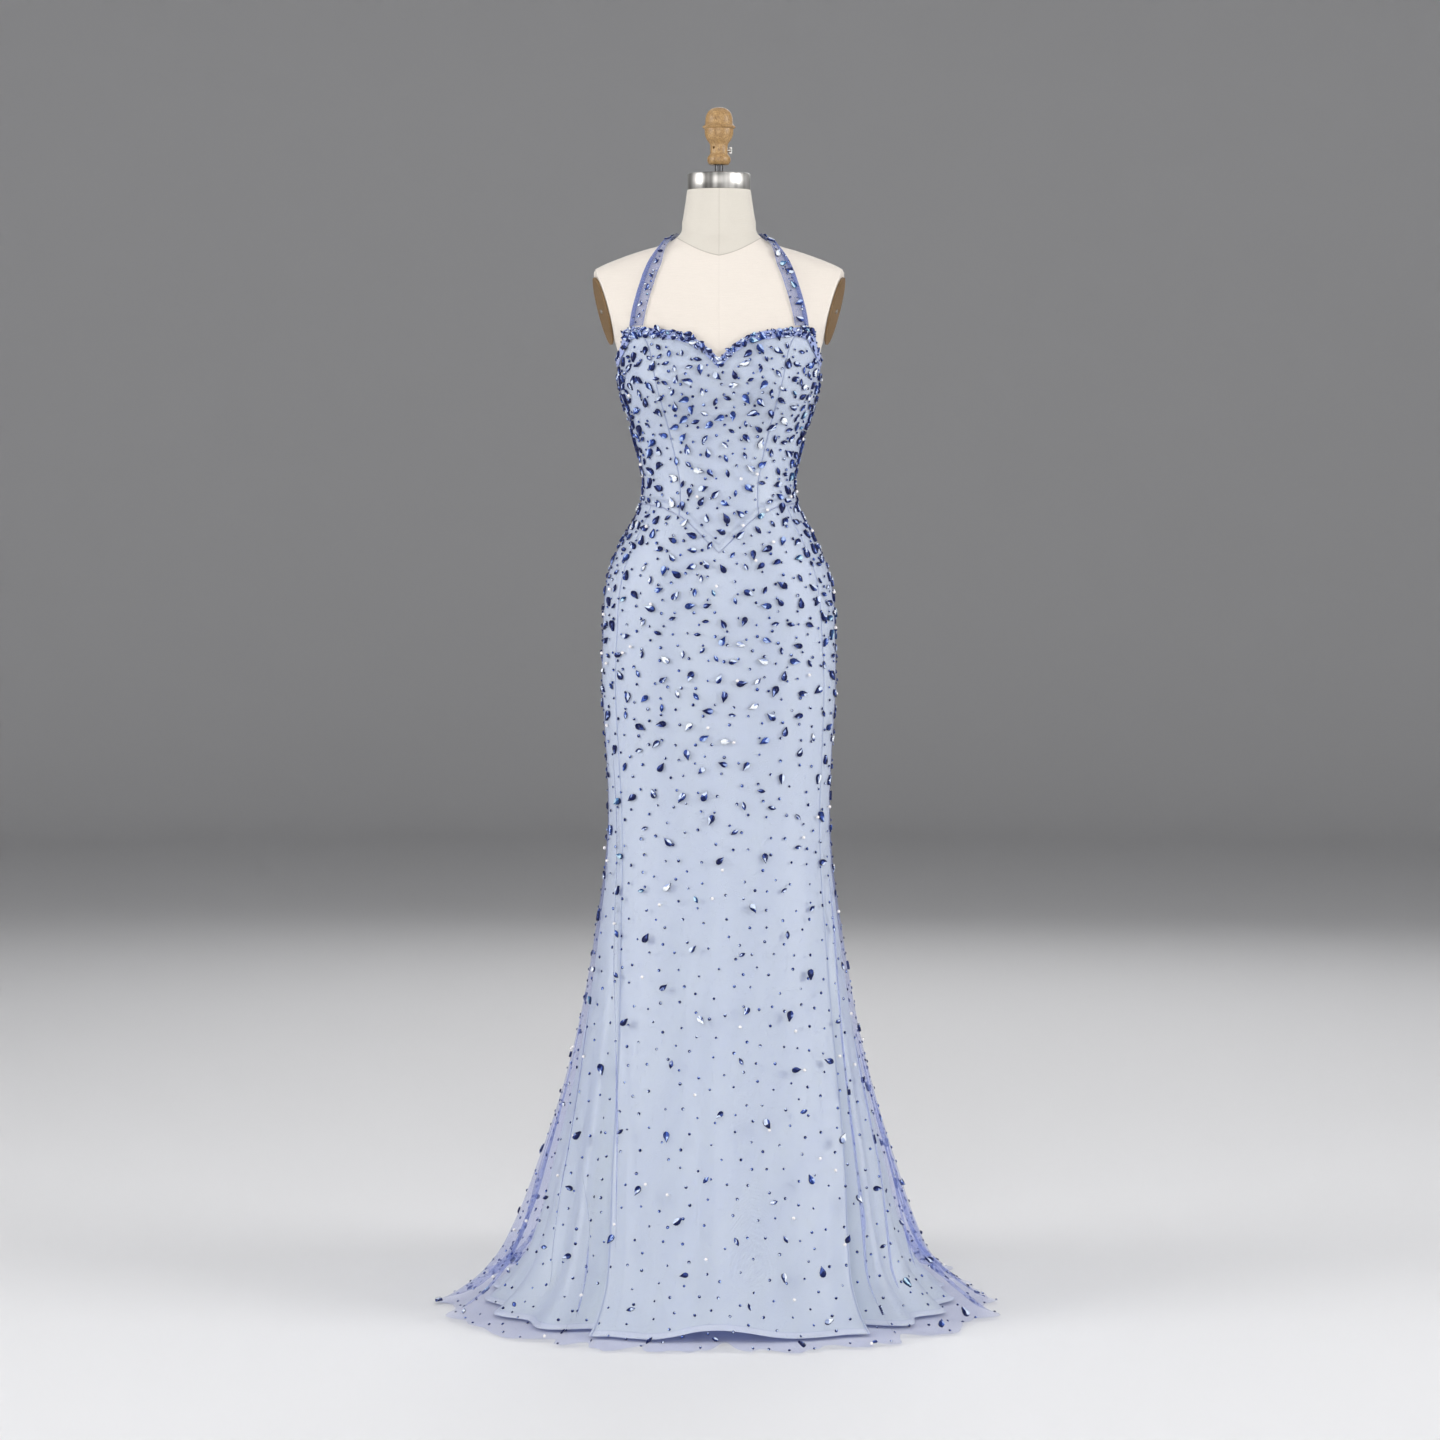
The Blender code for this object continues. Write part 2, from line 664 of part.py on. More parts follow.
def cylinder(name, radius, depth, place, direction, surface, segments=24):
    """A plain cylinder about a place, along a direction."""
    mesh = bmesh.new()
    bmesh.ops.create_cone(mesh, cap_ends=True, segments=segments, radius1=radius,
                          radius2=radius, depth=depth)
    made = finish(name, mesh, surface)
    turn = Vector(direction).to_track_quat("Z", "Y").to_matrix().to_4x4()
    made.matrix_world = Matrix.Translation(place) @ turn
    return made


def as_cutter(piece):
    DRESS.objects.unlink(piece)
    CUTTERS.objects.link(piece)
    piece.hide_render = True
    piece.display_type = "WIRE"
    return piece


def cut(piece, *cutters):
    for cutter in cutters:
        boolean = piece.modifiers.new("cut", "BOOLEAN")
        boolean.operation = "DIFFERENCE"
        boolean.solver = "EXACT"
        boolean.object = cutter


finial = turned("finial", (
    (0.0, FINIAL_TOP), (0.0070, FINIAL_TOP - 0.0007), (0.0135, FINIAL_TOP - 0.0040),
    (0.0180, FINIAL_TOP - 0.0095), (0.0200, FINIAL_TOP - 0.0170),
    (0.0203, FINIAL_TOP - 0.0240), (0.0243, FINIAL_TOP - 0.0285),
    (0.0243, FINIAL_TOP - 0.0300), (0.0212, FINIAL_TOP - 0.0315),
    (0.0210, FINIAL_TOP - 0.0370), (0.0192, FINIAL_TOP - 0.0440),
    (0.0160, FINIAL_TOP - 0.0500), (0.0134, FINIAL_TOP - 0.0532),
    (FINIAL_NECK, FINIAL_TOP - 0.0580), (FINIAL_NECK, FINIAL_TOP - 0.0670),
    (0.0134, FINIAL_TOP - 0.0690), (0.0160, FINIAL_TOP - 0.0715),
    (0.0172, FINIAL_TOP - 0.0765), (0.0160, FINIAL_TOP - 0.0815),
    (0.0135, FINIAL_FOOT), (ROD_BORE, FINIAL_FOOT),
    (ROD_BORE, ROD_TOP + BORE_END_GAP), (0.0, ROD_TOP + BORE_END_GAP),
), WOOD, segments=20)
screw_bore = as_cutter(cylinder(
    "screw_bore", SCREW_BORE, HOLE_DEPTH, (ROD_BORE + HOLE_DEPTH * 0.42, 0.0, SCREW_HEIGHT),
    (1, 0, 0), WOOD, segments=12))
hole_way = Vector((sin(SIDE_HOLE_ANGLE), -cos(SIDE_HOLE_ANGLE), 0.0))
hole_place = hole_way * FINIAL_NECK + Vector((0.0, 0.0, SCREW_HEIGHT + SIDE_HOLE_UP))
side_hole = as_cutter(cylinder(
    "side_hole", SIDE_HOLE_RADIUS, HOLE_DEPTH, hole_place, hole_way, WOOD, segments=12))
cut(finial, screw_bore, side_hole)

# Wing screw: a threaded shank, a hub and two short wings in one body.
shank = cylinder("thumbscrew", SCREW_RADIUS, SHANK_END - SHANK_START,
                 ((SHANK_START + SHANK_END) / 2, 0.0, SCREW_HEIGHT), (1, 0, 0),
                 STEEL, segments=12)
hub = as_cutter(cylinder("screw_hub", HUB_RADIUS, HUB_DEPTH,
                         (HUB_START + HUB_DEPTH / 2, 0.0, SCREW_HEIGHT), (1, 0, 0),
                         STEEL, segments=16))
wing_mesh = bmesh.new()
bmesh.ops.create_cube(wing_mesh, size=1.0)
wings = finish("screw_wings", wing_mesh, STEEL, smooth=False)
wings.data.transform(Matrix.Diagonal((*WING_SIZE, 1.0)))
wings.location = (HUB_START + 0.0030, 0.0, SCREW_HEIGHT)
as_cutter(wings)
for added in (hub, wings):
    union = shank.modifiers.new("union", "BOOLEAN")
    union.operation = "UNION"
    union.solver = "EXACT"
    union.object = added


def arm_plate(name, side):
    """Oval board on the flat side of the form."""
    mesh = bmesh.new()
    bmesh.ops.create_cone(mesh, cap_ends=True, segments=28, radius1=1.0, radius2=1.0,
                          depth=1.0)
    across = Vector((ARM_TURN, 1.0, 0.0)).normalized()
    out = Vector((1.0, -ARM_TURN, -ARM_LEAN)).normalized()
    up = out.cross(across)
    axes = (across * PLATE_RADII[0], up * PLATE_RADII[1], out * PLATE_THICK)
    frame = Matrix(axes).transposed().to_4x4()
    centre = Vector((ARM_PLANE_X, PLATE_CENTRE_Y, ARM_HEIGHT))
    centre.x += ARM_TURN * centre.y
    centre += out * PLATE_THICK / 2
    mesh.transform(Matrix.Translation(centre) @ frame)
    if side < 0:
        mesh.transform(Matrix.Diagonal((-1.0, 1.0, 1.0, 1.0)))
    mesh.normal_update()
    bmesh.ops.recalc_face_normals(mesh, faces=mesh.faces)
    return finish(name, mesh, PLATE_BROWN)


arm_plate("arm_plate_left", 1)
arm_plate("arm_plate_right", -1)

# ---- Pole and base -------------------------------------------------------------------

POLE_TOP = FORM_FOOT - SEAM_GAP
turned("stand_pole", (
    (0.0, POLE_TOP), (FLANGE_RADIUS, POLE_TOP), (FLANGE_RADIUS, POLE_TOP - 0.006),
    (SOCKET_RADIUS, POLE_TOP - 0.010), (SOCKET_RADIUS - 0.002, POLE_TOP - 0.040),
    (POLE_RADIUS, POLE_TOP - 0.042), (POLE_RADIUS, BOSS_TOP + SEAM_GAP),
    (0.0, BOSS_TOP + SEAM_GAP),
), DARK_STEEL, segments=20)
turned("stand_base", (
    (0.0, BOSS_TOP), (BOSS_RADIUS - 0.003, BOSS_TOP), (BOSS_RADIUS, BOSS_TOP - 0.003),
    (BOSS_RADIUS, BASE_TOP + 0.004), (0.040, BASE_TOP), (0.110, BASE_TOP - 0.004),
    (0.160, BASE_TOP - 0.011), (BASE_RADIUS, BASE_RIM), (BASE_RADIUS, 0.0), (0.0, 0.0),
), BASE_PAINT, segments=32)

# ---- Zip slider and pull -------------------------------------------------------------


def back_face(height):
    """Tulle's outer face at the centre back: its depth at a height, and how it leans."""
    column = part_of(TULLE_POINTS + TULLE_NORMALS * TULLE_WALL, BODICE,
                     (CENTRE_BACK, CENTRE_BACK))[:, 0]
    heights = column[::-1, 2]
    depths = column[::-1, 1]
    row = int(np.searchsorted(heights, height))
    lean = (depths[row] - depths[row - 1]) / (heights[row] - heights[row - 1])
    return float(np.interp(height, heights, depths)), float(np.arctan(lean))


def zip_slider():
    """Slider body with a wire loop. Its own frame is on the tulle's face, leaning with it."""
    width, out, up = SLIDER_SIZE
    depth, lean = back_face(ZIP_FOOT)
    mesh = bmesh.new()
    bmesh.ops.create_cube(mesh, size=1.0)
    mesh.transform(Matrix.Translation((0, out / 2, up / 2)) @ Matrix.Diagonal((*SLIDER_SIZE, 1)))
    slider = finish("zip_slider", mesh, STEEL, smooth=False)
    bevel = slider.modifiers.new("edges", "BEVEL")
    bevel.width = 0.0005
    bevel.segments = 1

    curve = bpy.data.curves.new("zip_loop", "CURVE")
    curve.dimensions = "3D"
    curve.bevel_depth = LOOP_WIRE
    curve.bevel_resolution = 1
    curve.use_fill_caps = True
    spline = curve.splines.new("POLY")
    turns = [radians(-125 + 25 * step) for step in range(11)]
    spline.points.add(len(turns) - 1)
    for point, turn in zip(spline.points, turns):
        point.co = (0, LOOP_OUT + LOOP_RADIUS * cos(turn), LOOP_UP + LOOP_RADIUS * sin(turn), 1)
    wire = bpy.data.objects.new("zip_loop", curve)
    DRESS.objects.link(wire)
    bpy.context.view_layer.update()
    loop = bpy.data.meshes.new_from_object(
        wire.evaluated_get(bpy.context.evaluated_depsgraph_get()))
    bpy.data.objects.remove(wire, do_unlink=True)
    welded = bmesh.new()
    welded.from_mesh(loop)
    bmesh.ops.remove_doubles(welded, verts=welded.verts, dist=1e-6)
    bmesh.ops.recalc_face_normals(welded, faces=welded.faces)
    bpy.data.meshes.remove(loop)
    added = as_cutter(finish("zip_loop_solid", welded, STEEL))
    union = slider.modifiers.new("union", "BOOLEAN")
    union.operation = "UNION"
    union.solver = "EXACT"
    union.object = added

    place = Matrix.Translation((0, depth, ZIP_FOOT)) @ Matrix.Rotation(-lean, 4, "X")
    place = place @ Matrix.Translation((0, SEAM_GAP, 0))
    slider.matrix_world = place
    added.matrix_world = place
    return place @ Vector((0, LOOP_OUT, LOOP_UP))


HINGE = zip_slider()


def zip_pull(hinge):
    """Flat tapered tab with a slot that hangs on the loop. It turns on its top bar."""
    bar = PULL_THICK / 2
    outline = bpy.data.curves.new("zip_pull", "CURVE")
    outline.dimensions = "2D"
    outline.fill_mode = "BOTH"
    outline.extrude = PULL_THICK / 2
    tab = (
        (-PULL_TOP_WIDTH / 2, bar), (-PULL_FOOT_WIDTH / 2, bar - PULL_LENGTH),
        (PULL_FOOT_WIDTH / 2, bar - PULL_LENGTH), (PULL_TOP_WIDTH / 2, bar),
    )
    slot_half = PULL_SLOT_WIDTH / 2
    slot = (
        (-slot_half, -bar), (slot_half, -bar),
        (slot_half, -bar - PULL_SLOT), (-slot_half, -bar - PULL_SLOT),
    )
    for corners in (tab, slot):
        spline = outline.splines.new("POLY")
        spline.points.add(len(corners) - 1)
        for point, (x, up) in zip(spline.points, corners):
            point.co = (x, up, 0.0, 1.0)
        spline.use_cyclic_u = True
    flat = bpy.data.objects.new("zip_pull_outline", outline)
    DRESS.objects.link(flat)
    bpy.context.view_layer.update()
    data = bpy.data.meshes.new_from_object(
        flat.evaluated_get(bpy.context.evaluated_depsgraph_get()))
    bpy.data.objects.remove(flat, do_unlink=True)
    mesh = bmesh.new()
    mesh.from_mesh(data)
    bpy.data.meshes.remove(data)
    bmesh.ops.remove_doubles(mesh, verts=mesh.verts, dist=1e-6)
    mesh.transform(Matrix.Rotation(pi / 2, 4, "X"))
    bmesh.ops.recalc_face_normals(mesh, faces=mesh.faces)
    pull = finish("zip_pull", mesh, STEEL, smooth=False)
    pull.location = hinge
    return pull


zip_pull(HINGE)
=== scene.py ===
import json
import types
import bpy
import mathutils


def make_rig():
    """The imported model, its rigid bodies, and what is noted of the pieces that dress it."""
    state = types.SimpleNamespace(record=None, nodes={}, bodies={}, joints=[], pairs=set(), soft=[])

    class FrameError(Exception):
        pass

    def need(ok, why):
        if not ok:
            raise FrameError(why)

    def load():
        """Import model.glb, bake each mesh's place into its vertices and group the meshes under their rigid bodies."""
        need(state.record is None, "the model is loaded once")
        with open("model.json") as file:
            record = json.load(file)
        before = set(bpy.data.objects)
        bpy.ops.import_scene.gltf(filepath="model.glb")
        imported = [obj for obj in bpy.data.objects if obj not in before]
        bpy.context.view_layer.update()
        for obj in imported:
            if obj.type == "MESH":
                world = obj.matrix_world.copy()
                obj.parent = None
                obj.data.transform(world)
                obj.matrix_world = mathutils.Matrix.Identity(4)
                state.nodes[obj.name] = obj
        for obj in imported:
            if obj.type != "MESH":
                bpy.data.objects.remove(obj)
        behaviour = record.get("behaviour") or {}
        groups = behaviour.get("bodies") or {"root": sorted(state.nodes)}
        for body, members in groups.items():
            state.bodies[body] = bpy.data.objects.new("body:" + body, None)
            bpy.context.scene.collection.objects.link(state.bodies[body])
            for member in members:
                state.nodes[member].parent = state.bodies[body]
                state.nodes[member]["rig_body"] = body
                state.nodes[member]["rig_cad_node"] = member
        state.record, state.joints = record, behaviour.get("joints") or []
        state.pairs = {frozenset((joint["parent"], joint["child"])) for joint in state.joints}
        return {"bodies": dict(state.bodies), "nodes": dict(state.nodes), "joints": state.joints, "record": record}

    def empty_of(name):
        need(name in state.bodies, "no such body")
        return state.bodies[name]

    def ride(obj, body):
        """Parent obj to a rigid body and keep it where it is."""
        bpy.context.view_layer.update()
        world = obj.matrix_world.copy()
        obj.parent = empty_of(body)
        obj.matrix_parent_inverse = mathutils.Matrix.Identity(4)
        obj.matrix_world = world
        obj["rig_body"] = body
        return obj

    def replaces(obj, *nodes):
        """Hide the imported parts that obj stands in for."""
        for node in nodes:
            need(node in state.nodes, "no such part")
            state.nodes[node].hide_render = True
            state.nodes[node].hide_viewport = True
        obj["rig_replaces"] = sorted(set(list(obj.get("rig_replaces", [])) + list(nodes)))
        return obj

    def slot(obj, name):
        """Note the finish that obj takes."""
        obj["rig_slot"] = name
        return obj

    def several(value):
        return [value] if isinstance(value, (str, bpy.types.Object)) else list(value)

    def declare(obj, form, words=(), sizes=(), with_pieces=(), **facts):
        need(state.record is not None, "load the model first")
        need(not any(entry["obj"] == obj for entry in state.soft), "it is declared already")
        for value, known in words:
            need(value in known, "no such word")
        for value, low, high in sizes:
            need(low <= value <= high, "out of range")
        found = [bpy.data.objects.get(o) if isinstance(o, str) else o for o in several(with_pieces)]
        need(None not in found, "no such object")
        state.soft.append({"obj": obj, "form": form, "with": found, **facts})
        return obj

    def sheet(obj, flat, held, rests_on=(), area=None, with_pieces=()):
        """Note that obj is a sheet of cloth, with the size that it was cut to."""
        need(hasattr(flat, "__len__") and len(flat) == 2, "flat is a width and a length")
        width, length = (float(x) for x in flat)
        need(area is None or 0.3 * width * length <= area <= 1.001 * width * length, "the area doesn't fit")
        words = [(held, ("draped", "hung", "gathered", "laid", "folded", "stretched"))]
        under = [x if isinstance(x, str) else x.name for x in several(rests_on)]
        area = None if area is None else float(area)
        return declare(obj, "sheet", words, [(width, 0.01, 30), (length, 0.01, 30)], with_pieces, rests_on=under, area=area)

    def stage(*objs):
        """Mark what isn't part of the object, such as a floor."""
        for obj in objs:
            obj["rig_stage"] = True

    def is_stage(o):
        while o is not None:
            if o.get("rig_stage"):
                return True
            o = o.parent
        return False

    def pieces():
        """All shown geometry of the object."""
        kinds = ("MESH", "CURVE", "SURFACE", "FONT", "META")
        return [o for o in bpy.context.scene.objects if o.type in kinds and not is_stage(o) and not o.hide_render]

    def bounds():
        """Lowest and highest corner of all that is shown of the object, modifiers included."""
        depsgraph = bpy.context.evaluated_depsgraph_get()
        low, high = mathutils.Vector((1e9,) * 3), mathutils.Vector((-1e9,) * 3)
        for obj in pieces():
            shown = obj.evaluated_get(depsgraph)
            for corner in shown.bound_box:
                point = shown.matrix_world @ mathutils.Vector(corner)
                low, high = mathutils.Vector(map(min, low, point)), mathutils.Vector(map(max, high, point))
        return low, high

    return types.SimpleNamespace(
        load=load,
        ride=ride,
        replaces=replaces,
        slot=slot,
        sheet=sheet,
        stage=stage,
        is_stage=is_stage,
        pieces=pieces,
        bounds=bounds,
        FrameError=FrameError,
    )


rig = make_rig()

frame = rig.load()

import json
from math import cos, pi, radians, sin

import bpy
import numpy as np
from mathutils import Vector

CAD_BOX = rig.bounds()
bpy.ops.object.select_all(action="DESELECT")

# ==== Camera ==============================================================================
# A long lens six metres off, at chest height and looking slightly down, so that the
# dress shows as in the photograph, with its hem a little from above.

LENS = 101.35
SENSOR = 36.0
CAMERA_PLACE = (0.0015, -6.0, 1.19)
CAMERA_DOWN = 3.05

bpy.ops.object.camera_add(location=CAMERA_PLACE,
                          rotation=(radians(90 - CAMERA_DOWN), 0.0, 0.0))
camera = bpy.context.object
camera.data.lens = LENS
camera.data.sensor_width = SENSOR
bpy.context.scene.camera = camera
bpy.context.scene.view_settings.view_transform = "Standard"


# ==== Floor and light =====================================================================
# A pale seamless floor that curves up far off all round, and plain soft lights: a broad
# key from the front, a fill from each side and a soft one from behind.


class Wire:
    """A shader socket. Sums with it add Math nodes to its finish."""

    def __init__(self, finish, socket):
        self.finish = finish
        self.socket = socket

    def math(self, operation, *values):
        return self.finish.node("ShaderNodeMath", dict(enumerate(values)), operation=operation)

    def __add__(self, other):
        return self.math("ADD", self, other)

    def __radd__(self, other):
        return self.math("ADD", other, self)

    def __sub__(self, other):
        return self.math("SUBTRACT", self, other)

    def __rsub__(self, other):
        return self.math("SUBTRACT", other, self)

    def __mul__(self, other):
        return self.math("MULTIPLY", self, other)

    def __rmul__(self, other):
        return self.math("MULTIPLY", other, self)

    def __truediv__(self, other):
        return self.math("DIVIDE", self, other)

    def __rtruediv__(self, other):
        return self.math("DIVIDE", other, self)

    def __pow__(self, other):
        return self.math("POWER", self, other)

    def __abs__(self):
        return self.math("ABSOLUTE", self)

    def under(self, edge, soft):
        """1 where the value is under the edge, fading to 0 over a soft step above it."""
        over = self.finish.node("ShaderNodeMapRange", {0: self, 1: edge, 2: edge + soft,
                                                       3: 1.0, 4: 0.0},
                                interpolation_type="SMOOTHSTEP")
        return over


class Finish:
    """A material. Whatever is the same all over is set on the shader's own sockets."""

    def __init__(self, name, **constants):
        self.material = bpy.data.materials.new(name)
        self.material.use_nodes = True
        self.tree = self.material.node_tree
        self.shader = self.tree.nodes["Principled BSDF"]
        for socket, value in constants.items():
            self.shader.inputs[socket.replace("_", " ")].default_value = value

    def node(self, kind, sockets, output=0, **settings):
        made = self.tree.nodes.new(kind)
        stops = settings.pop("stops", ())
        for name, value in settings.items():
            setattr(made, name, value)
        for number, (place, colour) in enumerate(stops):
            ramp = made.color_ramp.elements
            stop = ramp[number] if number < 2 else ramp.new(place)
            stop.position = place
            stop.color = (*colour, 1.0)
        for name, value in sockets.items():
            if isinstance(value, Wire):
                self.tree.links.new(value.socket, made.inputs[name])
            else:
                made.inputs[name].default_value = value
        return Wire(self, made.outputs[output])

    def feed(self, socket, wire):
        self.tree.links.new(wire.socket, self.shader.inputs[socket])

    def place(self):
        """The place on the piece, in metres from the floor's centre."""
        return self.node("ShaderNodeTexCoord", {}, output="Object")

    def chart(self):
        """The map of a sheet, in metres across and along its cloth."""
        return self.node("ShaderNodeTexCoord", {}, output="UV")

    def part(self, vector, axis):
        return self.node("ShaderNodeSeparateXYZ", {0: vector}, output=axis)

    def noise(self, vector, scale, detail=3.0, roughness=0.55):
        """Noise with one scale, or with a scale for each axis."""
        if isinstance(scale, tuple):
            vector = self.node("ShaderNodeMapping", {"Vector": vector, "Scale": scale})
            scale = 1.0
        return self.node("ShaderNodeTexNoise", {"Vector": vector, "Scale": scale,
                                                "Detail": detail, "Roughness": roughness})

    def mix(self, amount, first, second):
        """One colour turned into another. Inputs 6 and 7 of the node are the colours."""
        first, second = (colour if isinstance(colour, Wire) else (*colour, 1.0)
                         for colour in (first, second))
        return self.node("ShaderNodeMix", {0: amount, 6: first, 7: second}, output=2,
                         data_type="RGBA")

    def bump(self, height, distance, strength=1.0):
        raised = self.node("ShaderNodeBump", {"Height": height, "Distance": distance,
                                              "Strength": strength})
        self.feed("Normal", raised)


def faces_outward():
    """Turns all faces of the active piece outward, from edit mode, and leaves edit mode."""
    bpy.ops.mesh.select_all(action="SELECT")
    bpy.ops.mesh.normals_make_consistent(inside=False)
    bpy.ops.object.mode_set(mode="OBJECT")


def turned(name, rings, segments=64):
    """A turned piece: a disc is added, then extruded and scaled from ring to ring."""
    radius, height = rings[0]
    bpy.ops.mesh.primitive_circle_add(vertices=segments, radius=radius, fill_type="NGON",
                                      location=(0.0, 0.0, height))
    made = bpy.context.object
    made.name = name
    bpy.ops.object.mode_set(mode="EDIT")
    for next_radius, next_height in rings[1:]:
        step = (0.0, 0.0, next_height - height)
        bpy.ops.mesh.extrude_region_move(TRANSFORM_OT_translate={"value": step})
        size = next_radius / radius
        bpy.ops.transform.resize(value=(size, size, 1.0), center_override=(0.0, 0.0, 0.0))
        radius, height = next_radius, next_height
    faces_outward()
    bpy.ops.object.transform_apply(location=True, rotation=True, scale=True)
    bpy.ops.object.shade_smooth_by_angle(angle=radians(35))
    return made


FLOOR_FLAT = 8.5         # radius of its flat part
FLOOR_CURVE = 3.0
FLOOR_RIM = 4.2
FLOOR_BEND = np.radians(np.arange(0, 91, 5))     # turns of the rings up its curve

floor = turned("seamless_floor", [
    (FLOOR_FLAT + FLOOR_CURVE * sin(turn), FLOOR_CURVE * (1 - cos(turn)))
    for turn in FLOOR_BEND
] + [(FLOOR_FLAT + FLOOR_CURVE * 1.01, FLOOR_RIM)], segments=128)
paper = Finish("pale_paper", Base_Color=(0.80, 0.80, 0.81, 1.0), Roughness=0.9)
floor.data.materials.append(paper.material)
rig.stage(floor)

LAMPS = (
    # name, place, what it points at, size, power
    ("key", (-0.3, -5.8, 2.0), (0.0, 0.0, 1.40), 3.0, 93.0),
    ("fill_left", (-4.5, -1.8, 2.3), (0.0, 0.0, 1.50), 2.6, 101.0),
    ("fill_right", (4.5, -1.8, 2.3), (0.0, 0.0, 1.50), 2.6, 107.0),
    ("back", (0.6, 4.6, 3.6), (0.0, 0.0, 1.0), 3.0, 60.0),
)
LAMP_SPREAD = radians(150)
SKY_COLOUR = (0.98, 0.985, 1.0, 1.0)
SKY_STRENGTH = 0.60

for name, place, aim, size, power in LAMPS:
    turn = (Vector(aim) - Vector(place)).to_track_quat("-Z", "Y").to_euler()
    bpy.ops.object.light_add(type="AREA", location=place, rotation=turn)
    lamp = bpy.context.object
    lamp.name = "light_" + name
    lamp.data.size = size
    lamp.data.energy = power
    lamp.data.spread = LAMP_SPREAD

world = bpy.data.worlds.new("soft_room")
bpy.context.scene.world = world
world.use_nodes = True
sky = world.node_tree.nodes["Background"]
sky.inputs["Color"].default_value = SKY_COLOUR
sky.inputs["Strength"].default_value = SKY_STRENGTH

# Even parts of the picture, such as the floor, need fewer samples than the net and stones.
picture = bpy.context.scene.cycles
picture.adaptive_threshold = 0.04
picture.adaptive_min_samples = 12
picture.diffuse_bounces = 3

# ==== Linen body and neck of the form ====================================================
# A padded shell covered in cream linen, from its flat foot to the steel cap. The cloth is
# seamed down the centre front and round the base of the neck.

ROOT = "dress_and_form"
FORM_FOOT = 0.800
NECK_TOP = 1.651

# height, half width, depth to the front, depth to the back
BODY = (
    (0.000, 0.3460, 0.312, 0.425), (0.020, 0.3220, 0.298, 0.412),
    (0.060, 0.2880, 0.277, 0.388), (0.120, 0.2640, 0.257, 0.354),
    (0.220, 0.2400, 0.227, 0.305), (0.340, 0.2120, 0.194, 0.250),
    (0.460, 0.1900, 0.164, 0.205), (0.570, 0.1750, 0.141, 0.168),
    (0.660, 0.1650, 0.124, 0.142), (0.750, 0.1620, 0.113, 0.125),
    (0.800, 0.1640, 0.110, 0.120), (0.860, 0.1675, 0.108, 0.121),
    (0.930, 0.1710, 0.106, 0.125), (0.990, 0.1700, 0.106, 0.126),
    (1.050, 0.1675, 0.108, 0.120), (1.080, 0.1630, 0.107, 0.113),
    (1.107, 0.1545, 0.105, 0.105), (1.136, 0.1410, 0.101, 0.096),
    (1.166, 0.1240, 0.095, 0.086), (1.195, 0.1125, 0.089, 0.078),
    (1.220, 0.1090, 0.086, 0.074), (1.254, 0.1145, 0.086, 0.075),
    (1.284, 0.1220, 0.088, 0.079), (1.313, 0.1305, 0.092, 0.084),
    (1.343, 0.1405, 0.096, 0.089), (1.372, 0.1465, 0.099, 0.093),
    (1.401, 0.1485, 0.099, 0.096), (1.431, 0.1560, 0.095, 0.097),
    (1.455, 0.1800, 0.088, 0.098), (1.480, 0.1960, 0.080, 0.096),
    (1.505, 0.2000, 0.071, 0.089), (1.525, 0.1940, 0.063, 0.078),
    (1.538, 0.1775, 0.058, 0.070), (1.549, 0.1520, 0.055, 0.064),
    (1.561, 0.1180, 0.053, 0.060), (1.572, 0.0800, 0.054, 0.059),
    (1.584, 0.0605, 0.0565, 0.059), (1.605, 0.0540, 0.0540, 0.0540),
    (1.628, 0.0500, 0.0500, 0.0500), (NECK_TOP, 0.0468, 0.0468, 0.0468),
)
BUST_X = 0.082
BUST_HEIGHT = 1.372
BUST_OUT = 0.030
BUST_WIDTH = 0.062
BUST_RISE = 0.042
BUST_FALL = 0.052
BUST_FADE = 2.5

# The flat side that is left where an arm would be.
ARM_HEIGHT = 1.4745
ARM_PLANE_X = 0.1687
ARM_LEAN = 0.265
ARM_TURN = 0.160
ARM_FOOT = 1.397

# height, princess seam, fold's ridge, fold's valley, side, back princess line, in degrees
BODICE_LINES = (
    (1.16, 28.0, 60.0, 66.0, 90.0, 135.0), (1.25, 33.0, 60.0, 66.0, 90.0, 135.0),
    (1.37, 39.0, 62.0, 68.0, 90.0, 135.0), (1.46, 46.0, 66.0, 71.0, 90.0, 135.0),
)
LEFT_LINES = (
    (0.00, 20.0, 37.0, 42.5, 90.0, 135.0), (0.38, 24.0, 55.0, 60.0, 90.0, 135.0),
    (0.75, 27.0, 66.0, 71.0, 92.0, 136.0), *BODICE_LINES,
)
RIGHT_LINES = (
    (0.00, 18.0, 31.0, 35.5, 90.0, 135.0), (0.38, 23.0, 45.0, 49.5, 88.0, 135.0),
    (0.75, 27.0, 62.0, 66.5, 92.0, 136.0), *BODICE_LINES,
)
PRINCESS, RIDGE, VALLEY, SIDE, BACK_PRINCESS, CENTRE_BACK = 4, 7, 8, 13, 19, 25
LINE_COLUMNS = np.array((0, PRINCESS, RIDGE, VALLEY, SIDE, BACK_PRINCESS, CENTRE_BACK))


def along(table, keys):
    """Rows of a table at any keys in its first column, on a smooth curve through them."""
    table = np.array(table)
    at = table[:, 0]
    keys = np.clip(keys, at[0], at[-1])
    i = np.clip(np.searchsorted(at, keys) - 1, 0, len(at) - 2)
    step = (at[i + 1] - at[i])[..., None]
    s = (keys - at[i])[..., None] / step
    slopes = np.gradient(table[:, 1:], at, axis=0)
    return (table[i, 1:] * (1 + 2 * s) * (1 - s) ** 2
            + table[i + 1, 1:] * s * s * (3 - 2 * s)
            + slopes[i] * step * s * (1 - s) ** 2
            - slopes[i + 1] * step * s * s * (1 - s))


